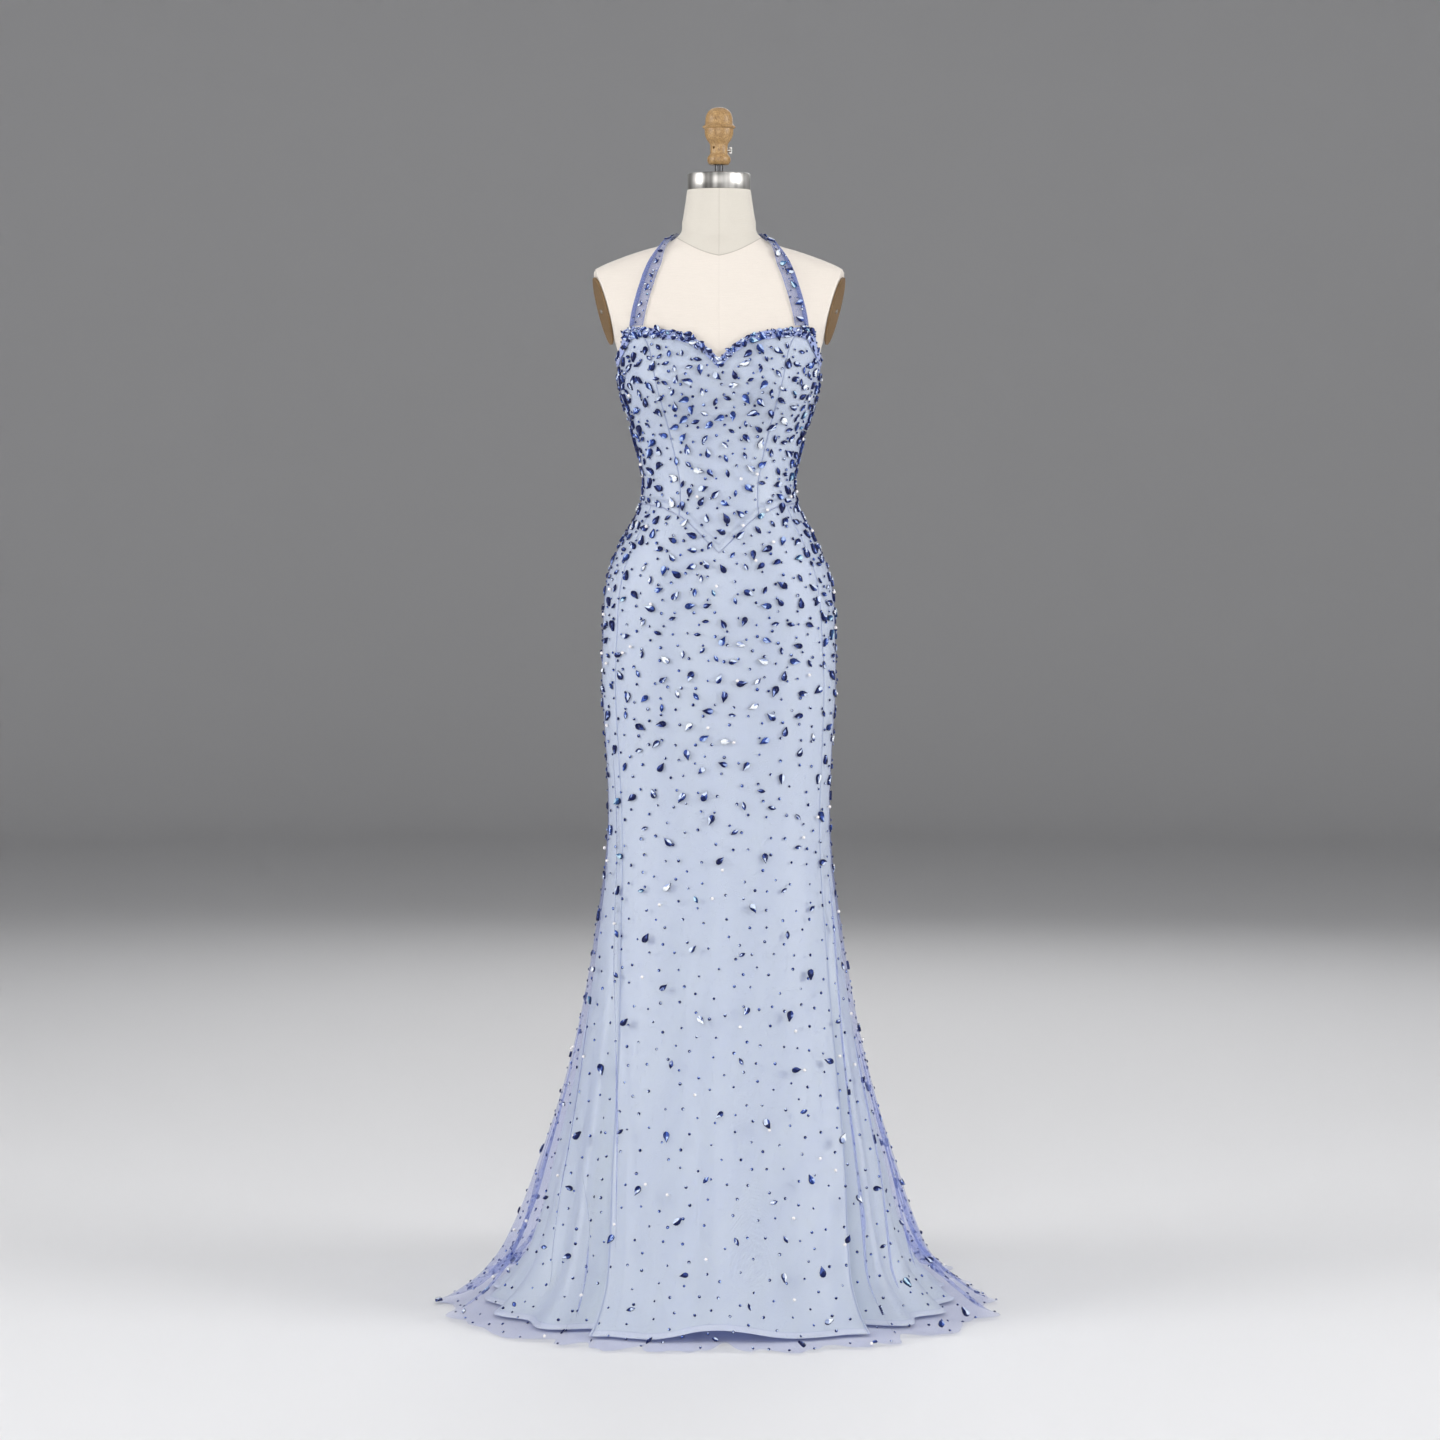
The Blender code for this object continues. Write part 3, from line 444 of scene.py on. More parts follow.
def bust(x, heights):
    """How far the bust stands out in front of the body's plain section."""
    fall = np.where(heights > BUST_HEIGHT, BUST_RISE, BUST_FALL)
    across = (np.exp(-((x - BUST_X) / BUST_WIDTH) ** 2)
              + np.exp(-((x + BUST_X) / BUST_WIDTH) ** 2))
    return BUST_OUT * across * np.exp(-((heights - BUST_HEIGHT) / fall) ** 2)


def body_points(angles, heights):
    """Points on the body at angles from the centre front, in degrees, and heights."""
    half_width, front, back = np.moveaxis(along(BODY, heights), -1, 0)
    x = half_width * np.sin(np.radians(angles))
    facing = np.cos(np.radians(angles))
    y = -facing * np.where(facing > 0, front, back)
    y = y - np.where(facing > 0, bust(x, heights) * np.minimum(1, BUST_FADE * facing), 0)
    limit = ARM_PLANE_X + ARM_LEAN * (heights - ARM_HEIGHT) + ARM_TURN * y
    x = np.where(heights > ARM_FOOT, np.clip(x, -limit, limit), x)
    return np.stack((x, y, heights), -1)


def column_angles(columns, heights):
    """Angles of columns of points. Columns of the wearer's right are negative."""
    lines = np.where((columns >= 0)[..., None], along(LEFT_LINES, heights),
                     along(RIGHT_LINES, heights))
    ends = np.zeros((*columns.shape, 1))
    angles = np.concatenate((ends, lines, ends + 180.0), -1)
    at = np.abs(columns)
    i = np.clip(np.searchsorted(LINE_COLUMNS, at, side="right") - 1, 0, len(LINE_COLUMNS) - 2)
    low = np.take_along_axis(angles, i[..., None], -1)[..., 0]
    high = np.take_along_axis(angles, i[..., None] + 1, -1)[..., 0]
    s = (at - LINE_COLUMNS[i]) / (LINE_COLUMNS[i + 1] - LINE_COLUMNS[i])
    return np.sign(columns) * (low + (high - low) * s)


def outward(angles):
    """Level unit vectors at angles from the centre front, in degrees."""
    angles = np.radians(angles)
    return np.stack((np.sin(angles), -np.cos(angles), np.zeros(angles.shape)), -1)


def unit(vectors):
    return vectors / np.linalg.norm(vectors, axis=-1, keepdims=True)


def applied(piece, kind, **settings):
    """Adds a modifier to a piece and applies it."""
    bpy.context.view_layer.objects.active = piece
    modifier = piece.modifiers.new("shaping", kind)
    for name, value in settings.items():
        setattr(modifier, name, value)
    bpy.ops.object.modifier_apply(modifier=modifier.name)


def cloth_sheet(name, points, across, down, closed=False):
    """A sheet on rows and columns of points, with a map in metres along its cloth."""
    rows, columns = points.shape[:2]
    bpy.ops.mesh.primitive_grid_add(x_subdivisions=columns - 1, y_subdivisions=rows - 1,
                                    size=1.0)
    made = bpy.context.object
    made.name = name
    mesh = made.data
    mesh.name = name
    flat = np.empty(len(mesh.vertices) * 3)
    mesh.vertices.foreach_get("co", flat)
    flat = flat.reshape(-1, 3)
    column = np.rint((flat[:, 0] + 0.5) * (columns - 1)).astype(int)
    row = np.rint((0.5 - flat[:, 1]) * (rows - 1)).astype(int)
    mesh.vertices.foreach_set("co", points[row, column].ravel())
    corner = np.empty(len(mesh.loops), int)
    mesh.loops.foreach_get("vertex_index", corner)
    spots = np.stack((across[row, column], down[row, column]), -1)[corner]
    mesh.uv_layers.active.data.foreach_set("uv", spots.ravel())
    if closed:
        bpy.ops.object.mode_set(mode="EDIT")
        bpy.ops.mesh.select_all(action="SELECT")
        bpy.ops.mesh.remove_doubles(threshold=0.00001)
        bpy.ops.mesh.select_all(action="DESELECT")
        bpy.ops.mesh.select_mode(type="EDGE")
        bpy.ops.mesh.select_non_manifold(extend=False)
        bpy.ops.mesh.edge_face_add()
        bpy.ops.object.mode_set(mode="OBJECT")
    bpy.ops.object.shade_smooth()
    return made


def dressed(piece, finish, slot, body=ROOT, stands_for=()):
    """Gives a piece its finish, the record's slot and the body that it moves with."""
    piece.data.materials.clear()
    piece.data.materials.append(finish.material)
    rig.ride(piece, body)
    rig.slot(piece, slot)
    if stands_for:
        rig.replaces(piece, *stands_for)
    bpy.ops.object.select_all(action="DESELECT")
    return piece


FORM_GAP = 0.0005        # under the satin, up to the neck
GAP_TOP = NECK_TOP - 0.05
FORM_COLUMNS = 240
FORM_HALF = 0.13         # the body's mean half width, for the linen's map
FINE_FROM = 1.40         # closer rows show the bare chest and neck
FORM_ROWS = np.concatenate((np.arange(NECK_TOP, FINE_FROM, -0.004),
                            np.arange(FINE_FROM, FORM_FOOT, -0.012), (FORM_FOOT,)))
form_columns = np.linspace(-CENTRE_BACK, CENTRE_BACK, FORM_COLUMNS + 1)
form_columns, form_heights = np.meshgrid(form_columns, FORM_ROWS)
form_angles = column_angles(form_columns, form_heights)
form_points = body_points(form_angles, form_heights)
form_points -= outward(form_angles) * FORM_GAP * (form_heights < GAP_TOP)[..., None]
form_linen = cloth_sheet("form_linen", form_points, np.radians(form_angles) * FORM_HALF,
                         form_heights, closed=True)
bpy.ops.object.shade_smooth_by_angle(angle=radians(38))

NECK_SEAM_FRONT = 1.5528
NECK_SEAM_SLOPE = 0.17
NECK_SEAM_BEND = 4.4
SEAM_LINE = 0.0007
WEAVE = 900.0            # threads a metre

linen = Finish("cream_linen", Roughness=0.86, Specular_IOR_Level=0.25, Sheen_Weight=0.15,
               Sheen_Roughness=0.5)
place = linen.place()
x, y, z = (linen.part(place, axis) for axis in range(3))
threads = (linen.noise(place, (60.0, 60.0, WEAVE * 2), 2.0)
           + linen.noise(place, (WEAVE * 2, WEAVE * 2, 60.0), 2.0))
cloud = linen.noise(place, 9.0, 3.0)
seam_height = NECK_SEAM_FRONT + NECK_SEAM_SLOPE * abs(x) + NECK_SEAM_BEND * x * x
neck_seam = abs(z - seam_height).under(SEAM_LINE * 0.5, SEAM_LINE) * y.under(0.02, 0.01)
centre_seam = abs(x).under(SEAM_LINE * 0.3, SEAM_LINE) * y.under(0.0, 0.01)
on_neck = (seam_height - z).under(0.0, 0.001)
seams = neck_seam.math("MAXIMUM", neck_seam, centre_seam * (on_neck * 0.30 + 0.16))
shade = linen.mix(threads * 0.5, (0.62, 0.565, 0.505), (0.82, 0.755, 0.685))
shade = linen.mix(cloud * 0.35, shade, (0.78, 0.72, 0.655))
shade = linen.mix(on_neck * 0.5, shade, (0.545, 0.525, 0.455))
shade = linen.mix(seams * 0.5, shade, (0.34, 0.30, 0.26))
linen.feed("Base Color", shade)
linen.bump(threads * 0.5 - seams * 2.2, 0.0004, 0.55)
dressed(form_linen, linen, "linen", stands_for=("form_body", "form_neck"))

# ==== Steel neck cap and rod ==============================================================
# A spun cap of brushed steel with a raised rim closes the neck, and a dark steel rod
# comes up through it to carry the finial.

CAP_TOP = 1.675
CAP_FOOT = NECK_TOP + 0.0003
CAP_RADIUS = 0.0462
ROD_RADIUS = 0.0060
ROD_BORE = 0.0066

cap = turned("neck_cap", (
    (ROD_BORE, CAP_TOP - 0.0018), (0.0100, CAP_TOP - 0.0015), (0.0420, CAP_TOP - 0.0015),
    (0.0428, CAP_TOP - 0.0002), (0.0436, CAP_TOP), (0.0450, CAP_TOP),
    (0.0458, CAP_TOP - 0.0005), (CAP_RADIUS, CAP_TOP - 0.0014),
    (CAP_RADIUS, CAP_FOOT + 0.0010), (0.0456, CAP_FOOT), (0.0300, CAP_FOOT),
), segments=96)
steel = Finish("brushed_steel", Metallic=1.0, Anisotropic=0.5)
place = steel.place()
streaks = steel.noise(place, (520.0, 520.0, 3.0), 4.0)
# Broad vertical bands of painted reflection, dark and bright, run through the steel's colour; the fine streaks are its
# brushing.
painted_reflection_bands = steel.noise(place, (46.0, 46.0, 0.4), 2.0)
tone = steel.mix(painted_reflection_bands * 3.4 - 1.25 + streaks * 0.25, (0.10, 0.096, 0.090),
                 (0.66, 0.64, 0.61))
steel.feed("Base Color", tone)
steel.feed("Roughness", streaks * 0.22 + 0.27)
steel.bump(streaks, 0.0001, 0.35)
dressed(cap, steel, "steel", stands_for=("form_cap",))

FINIAL_FOOT = 1.6884
ROD_TOP = FINIAL_FOOT + 0.040
rod = turned("form_rod_bar", (
    (0.0050, ROD_TOP), (ROD_RADIUS, ROD_TOP - 0.0010), (ROD_RADIUS, CAP_FOOT),
    (0.0050, CAP_FOOT - 0.0001),
), segments=32)
dark_steel = Finish("blackened_steel", Metallic=1.0)
wear = dark_steel.noise(dark_steel.place(), (60.0, 60.0, 14.0), 4.0)
dark_steel.feed("Base Color", dark_steel.mix(wear, (0.035, 0.035, 0.038),
                                             (0.13, 0.13, 0.135)))
dark_steel.feed("Roughness", wear * 0.3 + 0.22)
dressed(rod, dark_steel, "dark_steel", stands_for=("form_rod",))

# ==== Turned finial and its wing screw ====================================================
# The knob is turned from pale wood with a raised collar, drilled up the middle for the
# rod and from the side for a steel wing screw that clamps it. A second hole is a spare.

FINIAL_TOP = 1.7723
FINIAL_NECK = 0.0128
SCREW_HEIGHT = 1.7095
SCREW_RADIUS = 0.0022
SCREW_BORE = 0.0026
HUB_START = FINIAL_NECK + 0.0012
SIDE_HOLE_ANGLE = radians(-37)
SIDE_HOLE_UP = 0.0035
SIDE_HOLE_RADIUS = 0.0019
HOLE_DEEP = 0.012

# radius, distance below the top
FINIAL_PROFILE = (
    (0.0020, 0.0), (0.0070, 0.0007), (0.0108, 0.0020), (0.0138, 0.0040), (0.0163, 0.0066),
    (0.0182, 0.0097), (0.0193, 0.0130), (0.0200, 0.0170), (0.0203, 0.0240),
    (0.0210, 0.0256), (0.0226, 0.0268), (0.0239, 0.0277), (0.0244, 0.0288),
    (0.0240, 0.0299), (0.0228, 0.0307), (0.0213, 0.0315), (0.0212, 0.0345),
    (0.0209, 0.0385), (0.0200, 0.0425), (0.0184, 0.0463), (0.0162, 0.0498),
    (0.0141, 0.0526), (0.0131, 0.0545), (FINIAL_NECK, 0.0580), (FINIAL_NECK, 0.0670),
    (0.0134, 0.0687), (0.0147, 0.0702), (0.0163, 0.0722), (0.0171, 0.0748),
    (0.0171, 0.0782), (0.0160, 0.0812), (0.0145, 0.0832),
)
finial = turned("finial_knob", [
    (radius, FINIAL_TOP - below) for radius, below in FINIAL_PROFILE
] + [
    (0.0135, FINIAL_FOOT), (ROD_BORE + 0.0006, FINIAL_FOOT),
    (ROD_BORE, FINIAL_FOOT + 0.0006), (ROD_BORE, ROD_TOP + 0.001),
], segments=56)
for angle, radius, height in (
        (pi / 2, SCREW_BORE, SCREW_HEIGHT),
        (SIDE_HOLE_ANGLE, SIDE_HOLE_RADIUS, SCREW_HEIGHT + SIDE_HOLE_UP)):
    way = Vector((sin(angle), -cos(angle), 0.0))
    bpy.ops.mesh.primitive_cylinder_add(
        vertices=20, radius=radius, depth=HOLE_DEEP,
        location=way * FINIAL_NECK + Vector((0.0, 0.0, height)),
        rotation=way.to_track_quat("Z", "Y").to_euler())
    drill = bpy.context.object
    applied(finial, "BOOLEAN", object=drill)
    bpy.data.objects.remove(drill)

wood = Finish("turned_wood", Coat_Roughness=0.3, Coat_Weight=0.25)
place = wood.place()
grain = wood.noise(place, (150.0, 420.0, 150.0), 6.0, 0.7)
flecks = wood.noise(place, (700.0, 900.0, 500.0))
rings_tone = wood.noise(place, (30.0, 120.0, 60.0))
tone = wood.node("ShaderNodeValToRGB", {0: grain * 0.55 + flecks * 0.45}, stops=(
    (0.34, (0.10, 0.048, 0.016)), (0.47, (0.30, 0.17, 0.062)), (0.60, (0.50, 0.32, 0.13)),
    (0.76, (0.64, 0.46, 0.23))))
wood.feed("Base Color", wood.mix(rings_tone * 0.4, tone, (0.42, 0.25, 0.10)))
wood.feed("Roughness", flecks * 0.25 + 0.36)
wood.bump(flecks, 0.0003, 0.4)
dressed(finial, wood, "wood", body="finial", stands_for=("finial",))

SCREW_START = ROD_BORE + 0.0012
SCREW_END = HUB_START + 0.004
HUB_RADIUS = 0.0030
HUB_LONG = 0.0036
WINGS_MIDDLE = HUB_START + 0.0030
WINGS_SIZE = (0.0044, 0.0014, 0.0105)
SCREW_ROUNDING = 0.0004

rods = []
for radius, start, end in ((SCREW_RADIUS, SCREW_START, SCREW_END),
                           (HUB_RADIUS, HUB_START, HUB_START + HUB_LONG)):
    bpy.ops.mesh.primitive_cylinder_add(
        vertices=24, radius=radius, depth=end - start,
        location=((end + start) / 2, 0.0, SCREW_HEIGHT), rotation=(0.0, pi / 2, 0.0))
    rods.append(bpy.context.object)
shank, hub = rods
bpy.ops.mesh.primitive_cube_add(size=1.0, location=(WINGS_MIDDLE, 0.0, SCREW_HEIGHT))
wings = bpy.context.object
wings.scale = WINGS_SIZE
for piece in (shank, hub, wings):
    piece.select_set(True)
    bpy.context.view_layer.objects.active = piece
    bpy.ops.object.transform_apply(location=True, rotation=True, scale=True)
    applied(piece, "BEVEL", width=SCREW_ROUNDING, segments=3)
for piece in (hub, wings):
    applied(shank, "BOOLEAN", operation="UNION", object=piece)
    bpy.data.objects.remove(piece)
shank.name = "wing_screw"
bpy.ops.object.shade_smooth_by_angle(angle=radians(35))
dressed(shank, steel, "steel", body="thumbscrew", stands_for=("thumbscrew",))

# ==== Armhole boards ======================================================================
# An oval board of brown fibre closes each armhole, let into the linen, with a small
# domed steel screw at its middle.

PLATE_HALVES = (0.046, 0.051, 0.0018)
PLATE_CENTRE_Y = 0.004
# radius, depth and lift, in halves of the board
PLATE_PARTS = ((1.0, 2.0, 0.0), (0.075, 1.4, 1.3))
PLATE_ROUNDING = 0.30
board = Finish("brown_board", Specular_IOR_Level=0.4)
place = board.place()
fibres = board.noise(place, (90.0, 90.0, 22.0), 6.0, 0.65)
specks = board.noise(place, 900.0, 2.0)
tone = board.mix(fibres * 0.7 + specks * 0.3, (0.060, 0.030, 0.009), (0.30, 0.185, 0.082))
board.feed("Base Color", tone)
board.feed("Roughness", fibres * 0.3 + 0.40)
board.bump(fibres * 0.5 + specks * 0.5, 0.0004, 0.5)

for side, name in ((1, "left"), (-1, "right")):
    across = Vector((side * ARM_TURN, 1.0, 0.0)).normalized()
    out = Vector((side, -ARM_TURN, -ARM_LEAN)).normalized()
    up = out.cross(across) * side
    centre = Vector((side * (ARM_PLANE_X + ARM_TURN * PLATE_CENTRE_Y), PLATE_CENTRE_Y,
                     ARM_HEIGHT)) + out * PLATE_HALVES[2]
    made = []
    for radius, depth, lift in PLATE_PARTS:
        bpy.ops.mesh.primitive_cylinder_add(vertices=72, radius=radius, depth=depth,
                                            location=(0.0, 0.0, 0.0))
        piece = bpy.context.object
        applied(piece, "BEVEL", width=PLATE_ROUNDING * radius, segments=3,
                limit_method="ANGLE")
        for vertex in piece.data.vertices:
            a, b, c = vertex.co
            wide = 1.0 if radius == 1.0 else PLATE_HALVES[0] / PLATE_HALVES[1]
            vertex.co = (centre + across * a * PLATE_HALVES[0]
                         + up * b * PLATE_HALVES[1] * wide
                         + out * (c + lift) * PLATE_HALVES[2])
        bpy.ops.object.mode_set(mode="EDIT")
        faces_outward()
        bpy.ops.object.shade_smooth_by_angle(angle=radians(40))
        made.append(piece)
    made[0].name = "armhole_board_" + name
    made[1].name = "armhole_screw_" + name
    dressed(made[0], board, "plate_board", stands_for=("arm_plate_" + name,))
    dressed(made[1], steel, "steel")

# ==== Pole and base under the skirt =======================================================
# The steel pole and the round cast base keep their own shapes: they only need their
# finishes, blackened steel and slightly pitted black enamel.

enamel = Finish("black_enamel", Coat_Roughness=0.2, Coat_Weight=0.3)
pits = enamel.noise(enamel.place(), 160.0, 4.0)
enamel.feed("Base Color", enamel.mix(pits, (0.012, 0.012, 0.014), (0.035, 0.035, 0.04)))
enamel.feed("Roughness", pits * 0.3 + 0.25)
enamel.bump(pits, 0.0004, 0.3)


def refinished(node, finish):
    """Gives a node of the frame its finish. Its shape stays."""
    frame["nodes"][node].data.materials.clear()
    frame["nodes"][node].data.materials.append(finish.material)


refinished("stand_pole", dark_steel)
refinished("stand_base", enamel)

# ==== Satin bodice and skirt ==============================================================
# The dress proper is ice blue satin: a bodice with princess seams that ends in a point
# below the waist, and a skirt cut in gores that flare into folds below the knee, with a
# narrow turned hem.

SATIN_WALL = 0.0012
SATIN_CLOTH = 0.0009
SEAM_GAP = 0.0003
SEAM_DEEP = 0.0007
SEAM_WIDE = 0.0017
BAND_WIDTH = 0.014
BODICE_ROWS = 7
NECKLINE_TOP = 1.449
SEAM_SIDE_HEIGHT = 1.190
HEM_RISE = 0.014
HEM_RISE_COLUMNS = 4
HEM_DEEP = 0.009
HEM_STEP = 0.0008

# angle from the centre front, height
NECKLINE = (
    (0.0, 1.3995), (4.0, 1.409), (9.5, 1.422), (17.0, 1.435), (25.0, 1.441),
    (46.0, 1.449), (57.0, 1.443), (63.0, 1.433), (70.0, 1.421), (79.0, 1.408),
    (90.0, 1.399), (115.0, 1.386), (145.0, 1.373), (180.0, 1.366),
)
WAIST_SEAM = (
    (0.0, 1.119), (7.0, 1.134), (14.0, 1.149), (21.0, 1.162), (28.0, 1.172),
    (45.0, 1.185), (66.0, 1.190), (180.0, 1.190),
)
# height at the sides, how much of the waist seam's point the row keeps
SKIRT_ROWS = (
    (1.125, 0.60), (1.060, 0.20), (0.990, 0.0), (0.900, 0.0), (FORM_FOOT, 0.0),
    (0.700, 0.0), (0.590, 0.0), (0.470, 0.0), (0.350, 0.0), (0.240, 0.0),
    (0.140, 0.0), (0.070, 0.0), (0.025, 0.0), (0.004, 0.0),
)
WAIST_ROW = BODICE_ROWS
HEM_ROW = BODICE_ROWS + len(SKIRT_ROWS)

# column, out at the hem on the wearer's left and right, height where the fold starts
FOLDS = (
    (RIDGE, 0.012, 0.010, 0.62), (VALLEY, -0.052, -0.036, 0.66), (9, 0.010, 0.012, 0.55),
    (10, -0.016, -0.012, 0.42), (11, 0.010, 0.012, 0.50), (12, -0.014, -0.016, 0.40),
    (SIDE, 0.010, 0.008, 0.45), (14, -0.018, -0.016, 0.45), (15, 0.012, 0.014, 0.50),
    (16, -0.018, -0.022, 0.48), (17, 0.014, 0.014, 0.50), (18, -0.020, -0.018, 0.46),
    (BACK_PRINCESS, 0.016, 0.016, 0.55), (20, -0.024, -0.022, 0.50), (21, 0.016, 0.018, 0.50),
    (22, -0.024, -0.026, 0.48), (23, 0.018, 0.018, 0.52), (24, -0.028, -0.028, 0.55),
    (CENTRE_BACK, 0.016, 0.016, 0.60),
)
FOLD_GROWTH = 1.4

# Slight hanging waves of the front gore: waves a column, where they start, out at the hem
HANGING_WAVES = ((0.21, 0.4, 0.0030), (0.37, 1.9, 0.0016), (0.61, 4.1, 0.0006))
WAVES_START = 0.78


def row_heights(columns, rows):
    """Heights at row numbers of the dress: 0 is its top edge, HEM_ROW its satin hem."""
    side_angles = np.abs(column_angles(columns, np.full(columns.shape, NECKLINE_TOP)))
    top = np.interp(side_angles, *np.transpose(NECKLINE))
    waist_angles = np.abs(column_angles(columns, np.full(columns.shape, SEAM_SIDE_HEIGHT)))
    waist = np.interp(waist_angles, *np.transpose(WAIST_SEAM))
    below = top - BAND_WIDTH
    steps = [top] + [below + (waist - below) * step / (BODICE_ROWS - 1)
                     for step in range(BODICE_ROWS)]
    steps += [height + (waist - SEAM_SIDE_HEIGHT) * kept for height, kept in SKIRT_ROWS]
    middle = np.maximum(0, 1 - np.abs(columns) / HEM_RISE_COLUMNS)
    steps[-1] = steps[-1] + HEM_RISE * middle * middle * (3 - 2 * middle)
    steps = np.stack(steps, -1)
    rows = np.clip(rows, 0, HEM_ROW)
    i = np.clip(np.floor(rows).astype(int), 0, HEM_ROW - 1)
    low = np.take_along_axis(steps, i[..., None], -1)[..., 0]
    high = np.take_along_axis(steps, i[..., None] + 1, -1)[..., 0]
    return low + (high - low) * (rows - i)


def folds_out(columns, heights):
    """How far the folds push the cloth out of the smooth skirt, or in if negative."""
    depth = np.zeros((2, CENTRE_BACK + 2))
    start = np.ones(CENTRE_BACK + 2)
    for number, left, right, begins in FOLDS:
        depth[:, number] = left, right
        start[number] = begins
    hand = (columns < 0).astype(int)
    at = np.minimum(np.abs(columns), CENTRE_BACK)
    i = np.floor(at).astype(int)
    s = at - i
    s = s * s * (3 - 2 * s)
    out = 0.0
    for number, share in ((i, 1 - s), (i + 1, s)):
        grown = np.maximum(0, 1 - heights / start[number]) ** FOLD_GROWTH
        out = out + share * depth[hand, number] * grown
    fade = np.clip(1 - np.abs(columns) / RIDGE, 0, 1) * np.clip(1 - heights / WAVES_START, 0, 1)
    for often, start_at, size in HANGING_WAVES:
        out = out + fade * size * np.sin(2 * pi * often * columns + start_at)
    return out


def satin_inside(columns, rows):
    """Inner face of the satin at column and row numbers."""
    heights = row_heights(columns, rows)
    angles = column_angles(columns, heights)
    return (body_points(angles, heights)
            + outward(angles) * folds_out(columns, heights)[..., None])


def sides_of(face, columns, rows, step=0.08):
    """Unit vectors along the columns' spread, and straight out, of a face at places on it."""
    across = face(columns + step, rows) - face(columns - step, rows)
    up = face(columns, rows - step) - face(columns, rows + step)
    return unit(across), unit(np.cross(across, up))


def lengths(points, axis):
    """Distance along each row or column of points."""
    steps = np.linalg.norm(np.diff(points, axis=axis), axis=-1)
    first = np.zeros_like(np.take(steps, [0], axis))
    return np.cumsum(np.concatenate((first, steps), axis), axis)


# Close rows at the waist seam and close columns at the others, in rows and columns
SEAM_ROWS = np.array((0.0, 0.025, 0.06, 0.12, 0.25))
SEAM_COLUMNS = np.array((0.0, 0.05, 0.12, 0.25))
SEAM_MARGIN = 0.4        # columns from a seam to the evenly spaced ones
PER_COLUMN = 5           # columns of points to a numbered one
BODICE_LINES_DOWN = 40
PER_SKIRT_ROW = 8
HEM_FADE = 0.003         # over which the turned hem's step rises


def cut_of(points):
    """Width, length and area of a sheet laid flat, in metres, measured along its cloth."""
    wide = lengths(points, 1)[:, -1].max()
    long = lengths(points, 0)[-1].max()
    leaning = np.cross(points[1:, 1:] - points[:-1, :-1], points[1:, :-1] - points[:-1, 1:])
    area = np.linalg.norm(leaning, axis=-1).sum() / 2
    return {"flat": (round(float(wide), 3), round(float(long), 3)),
            "area": round(float(area), 4)}


def satin_panel(name, columns, rows):
    """One cut piece of satin, drawn down a little into its seams."""
    wide = columns[1] - columns[0] - 2 * SEAM_MARGIN
    inner = np.linspace(columns[0] + SEAM_MARGIN, columns[1] - SEAM_MARGIN,
                        int(wide * PER_COLUMN) + 1)
    numbers = np.concatenate((columns[0] + SEAM_COLUMNS, inner,
                              columns[1] - SEAM_COLUMNS[::-1]))
    if rows[0] == 0:
        row_numbers = np.concatenate((
            np.linspace(0, rows[1] - SEAM_ROWS[-1], BODICE_LINES_DOWN),
            rows[1] - SEAM_ROWS[::-1]))
    else:
        row_numbers = np.concatenate((rows[0] + SEAM_ROWS, np.linspace(
            rows[0] + SEAM_ROWS[-1], rows[1], (rows[1] - rows[0]) * PER_SKIRT_ROW)[1:]))
    at, down = np.meshgrid(numbers, row_numbers)
    points = satin_inside(at, down)
    across, out = sides_of(satin_inside, at, down)
    arc = lengths(points, 1)
    drop = lengths(points, 0)
    to_seam = np.minimum(arc, arc[:, -1:] - arc)
    groove = np.exp(-(to_seam / SEAM_WIDE) ** 2)
    to_foot = drop[-1:] - drop
    to_waist = to_foot if rows[0] == 0 else drop
    groove = np.maximum(groove, np.exp(-(to_waist / SEAM_WIDE) ** 2))
    turned_up = np.clip((HEM_DEEP - to_foot) / HEM_FADE, 0, 1) * (rows[1] == HEM_ROW)
    points = points + out * (SATIN_WALL - SEAM_DEEP * groove + HEM_STEP * turned_up)[..., None]
    points[:, 0] += across[:, 0] * SEAM_GAP / 2
    points[:, -1] -= across[:, -1] * SEAM_GAP / 2
    if rows[0] == 0:
        points[-1, :, 2] += SEAM_GAP
    else:
        points[0, :, 2] -= SEAM_GAP
    from_hem = to_foot if rows[1] == HEM_ROW else np.ones(drop.shape)
    made = cloth_sheet("cloth_" + name, points, arc, from_hem)
    # The seam attribute marks where painted shade lies along the grooves of the seams.
    seam = made.data.attributes.new("seam", "FLOAT", "POINT")
    seam.data.foreach_set("value", groove[::-1].ravel())
    applied(made, "SOLIDIFY", thickness=SATIN_CLOTH, offset=-1.0)
    dressed(made, satin, "satin", stands_for=("satin_" + name,))
    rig.sheet(made, **cut_of(points), held="stretched" if rows[0] == 0 else "hung",
             rests_on=[form_linen.name])
    return made


satin = Finish("ice_blue_satin", Specular_IOR_Level=0.5, Sheen_Weight=0.20,
               Sheen_Roughness=0.35, Sheen_Tint=(0.84, 0.86, 1.0, 1.0))
chart = satin.chart()
from_hem = satin.part(chart, 1)
runs = satin.noise(chart, (260.0, 5.0, 1.0), 4.0)
drifts = satin.noise(satin.place(), (14.0, 14.0, 1.4), 2.0)
twill = satin.noise(chart, (3200.0, 700.0, 1.0), 1.0)
tone = satin.mix(drifts, (0.655, 0.712, 0.680), (0.728, 0.778, 0.748))
tone = satin.mix(runs * 0.35, tone, (0.640, 0.695, 0.690))
hem_band = from_hem.under(HEM_DEEP, 0.0012)
hem_line = abs(from_hem - HEM_DEEP - 0.0006).under(0.0003, 0.0009)
tone = satin.mix(hem_band * 0.5, tone, (0.80, 0.82, 0.84))
tone = satin.mix(hem_line * 0.35, tone, (0.42, 0.47, 0.56))
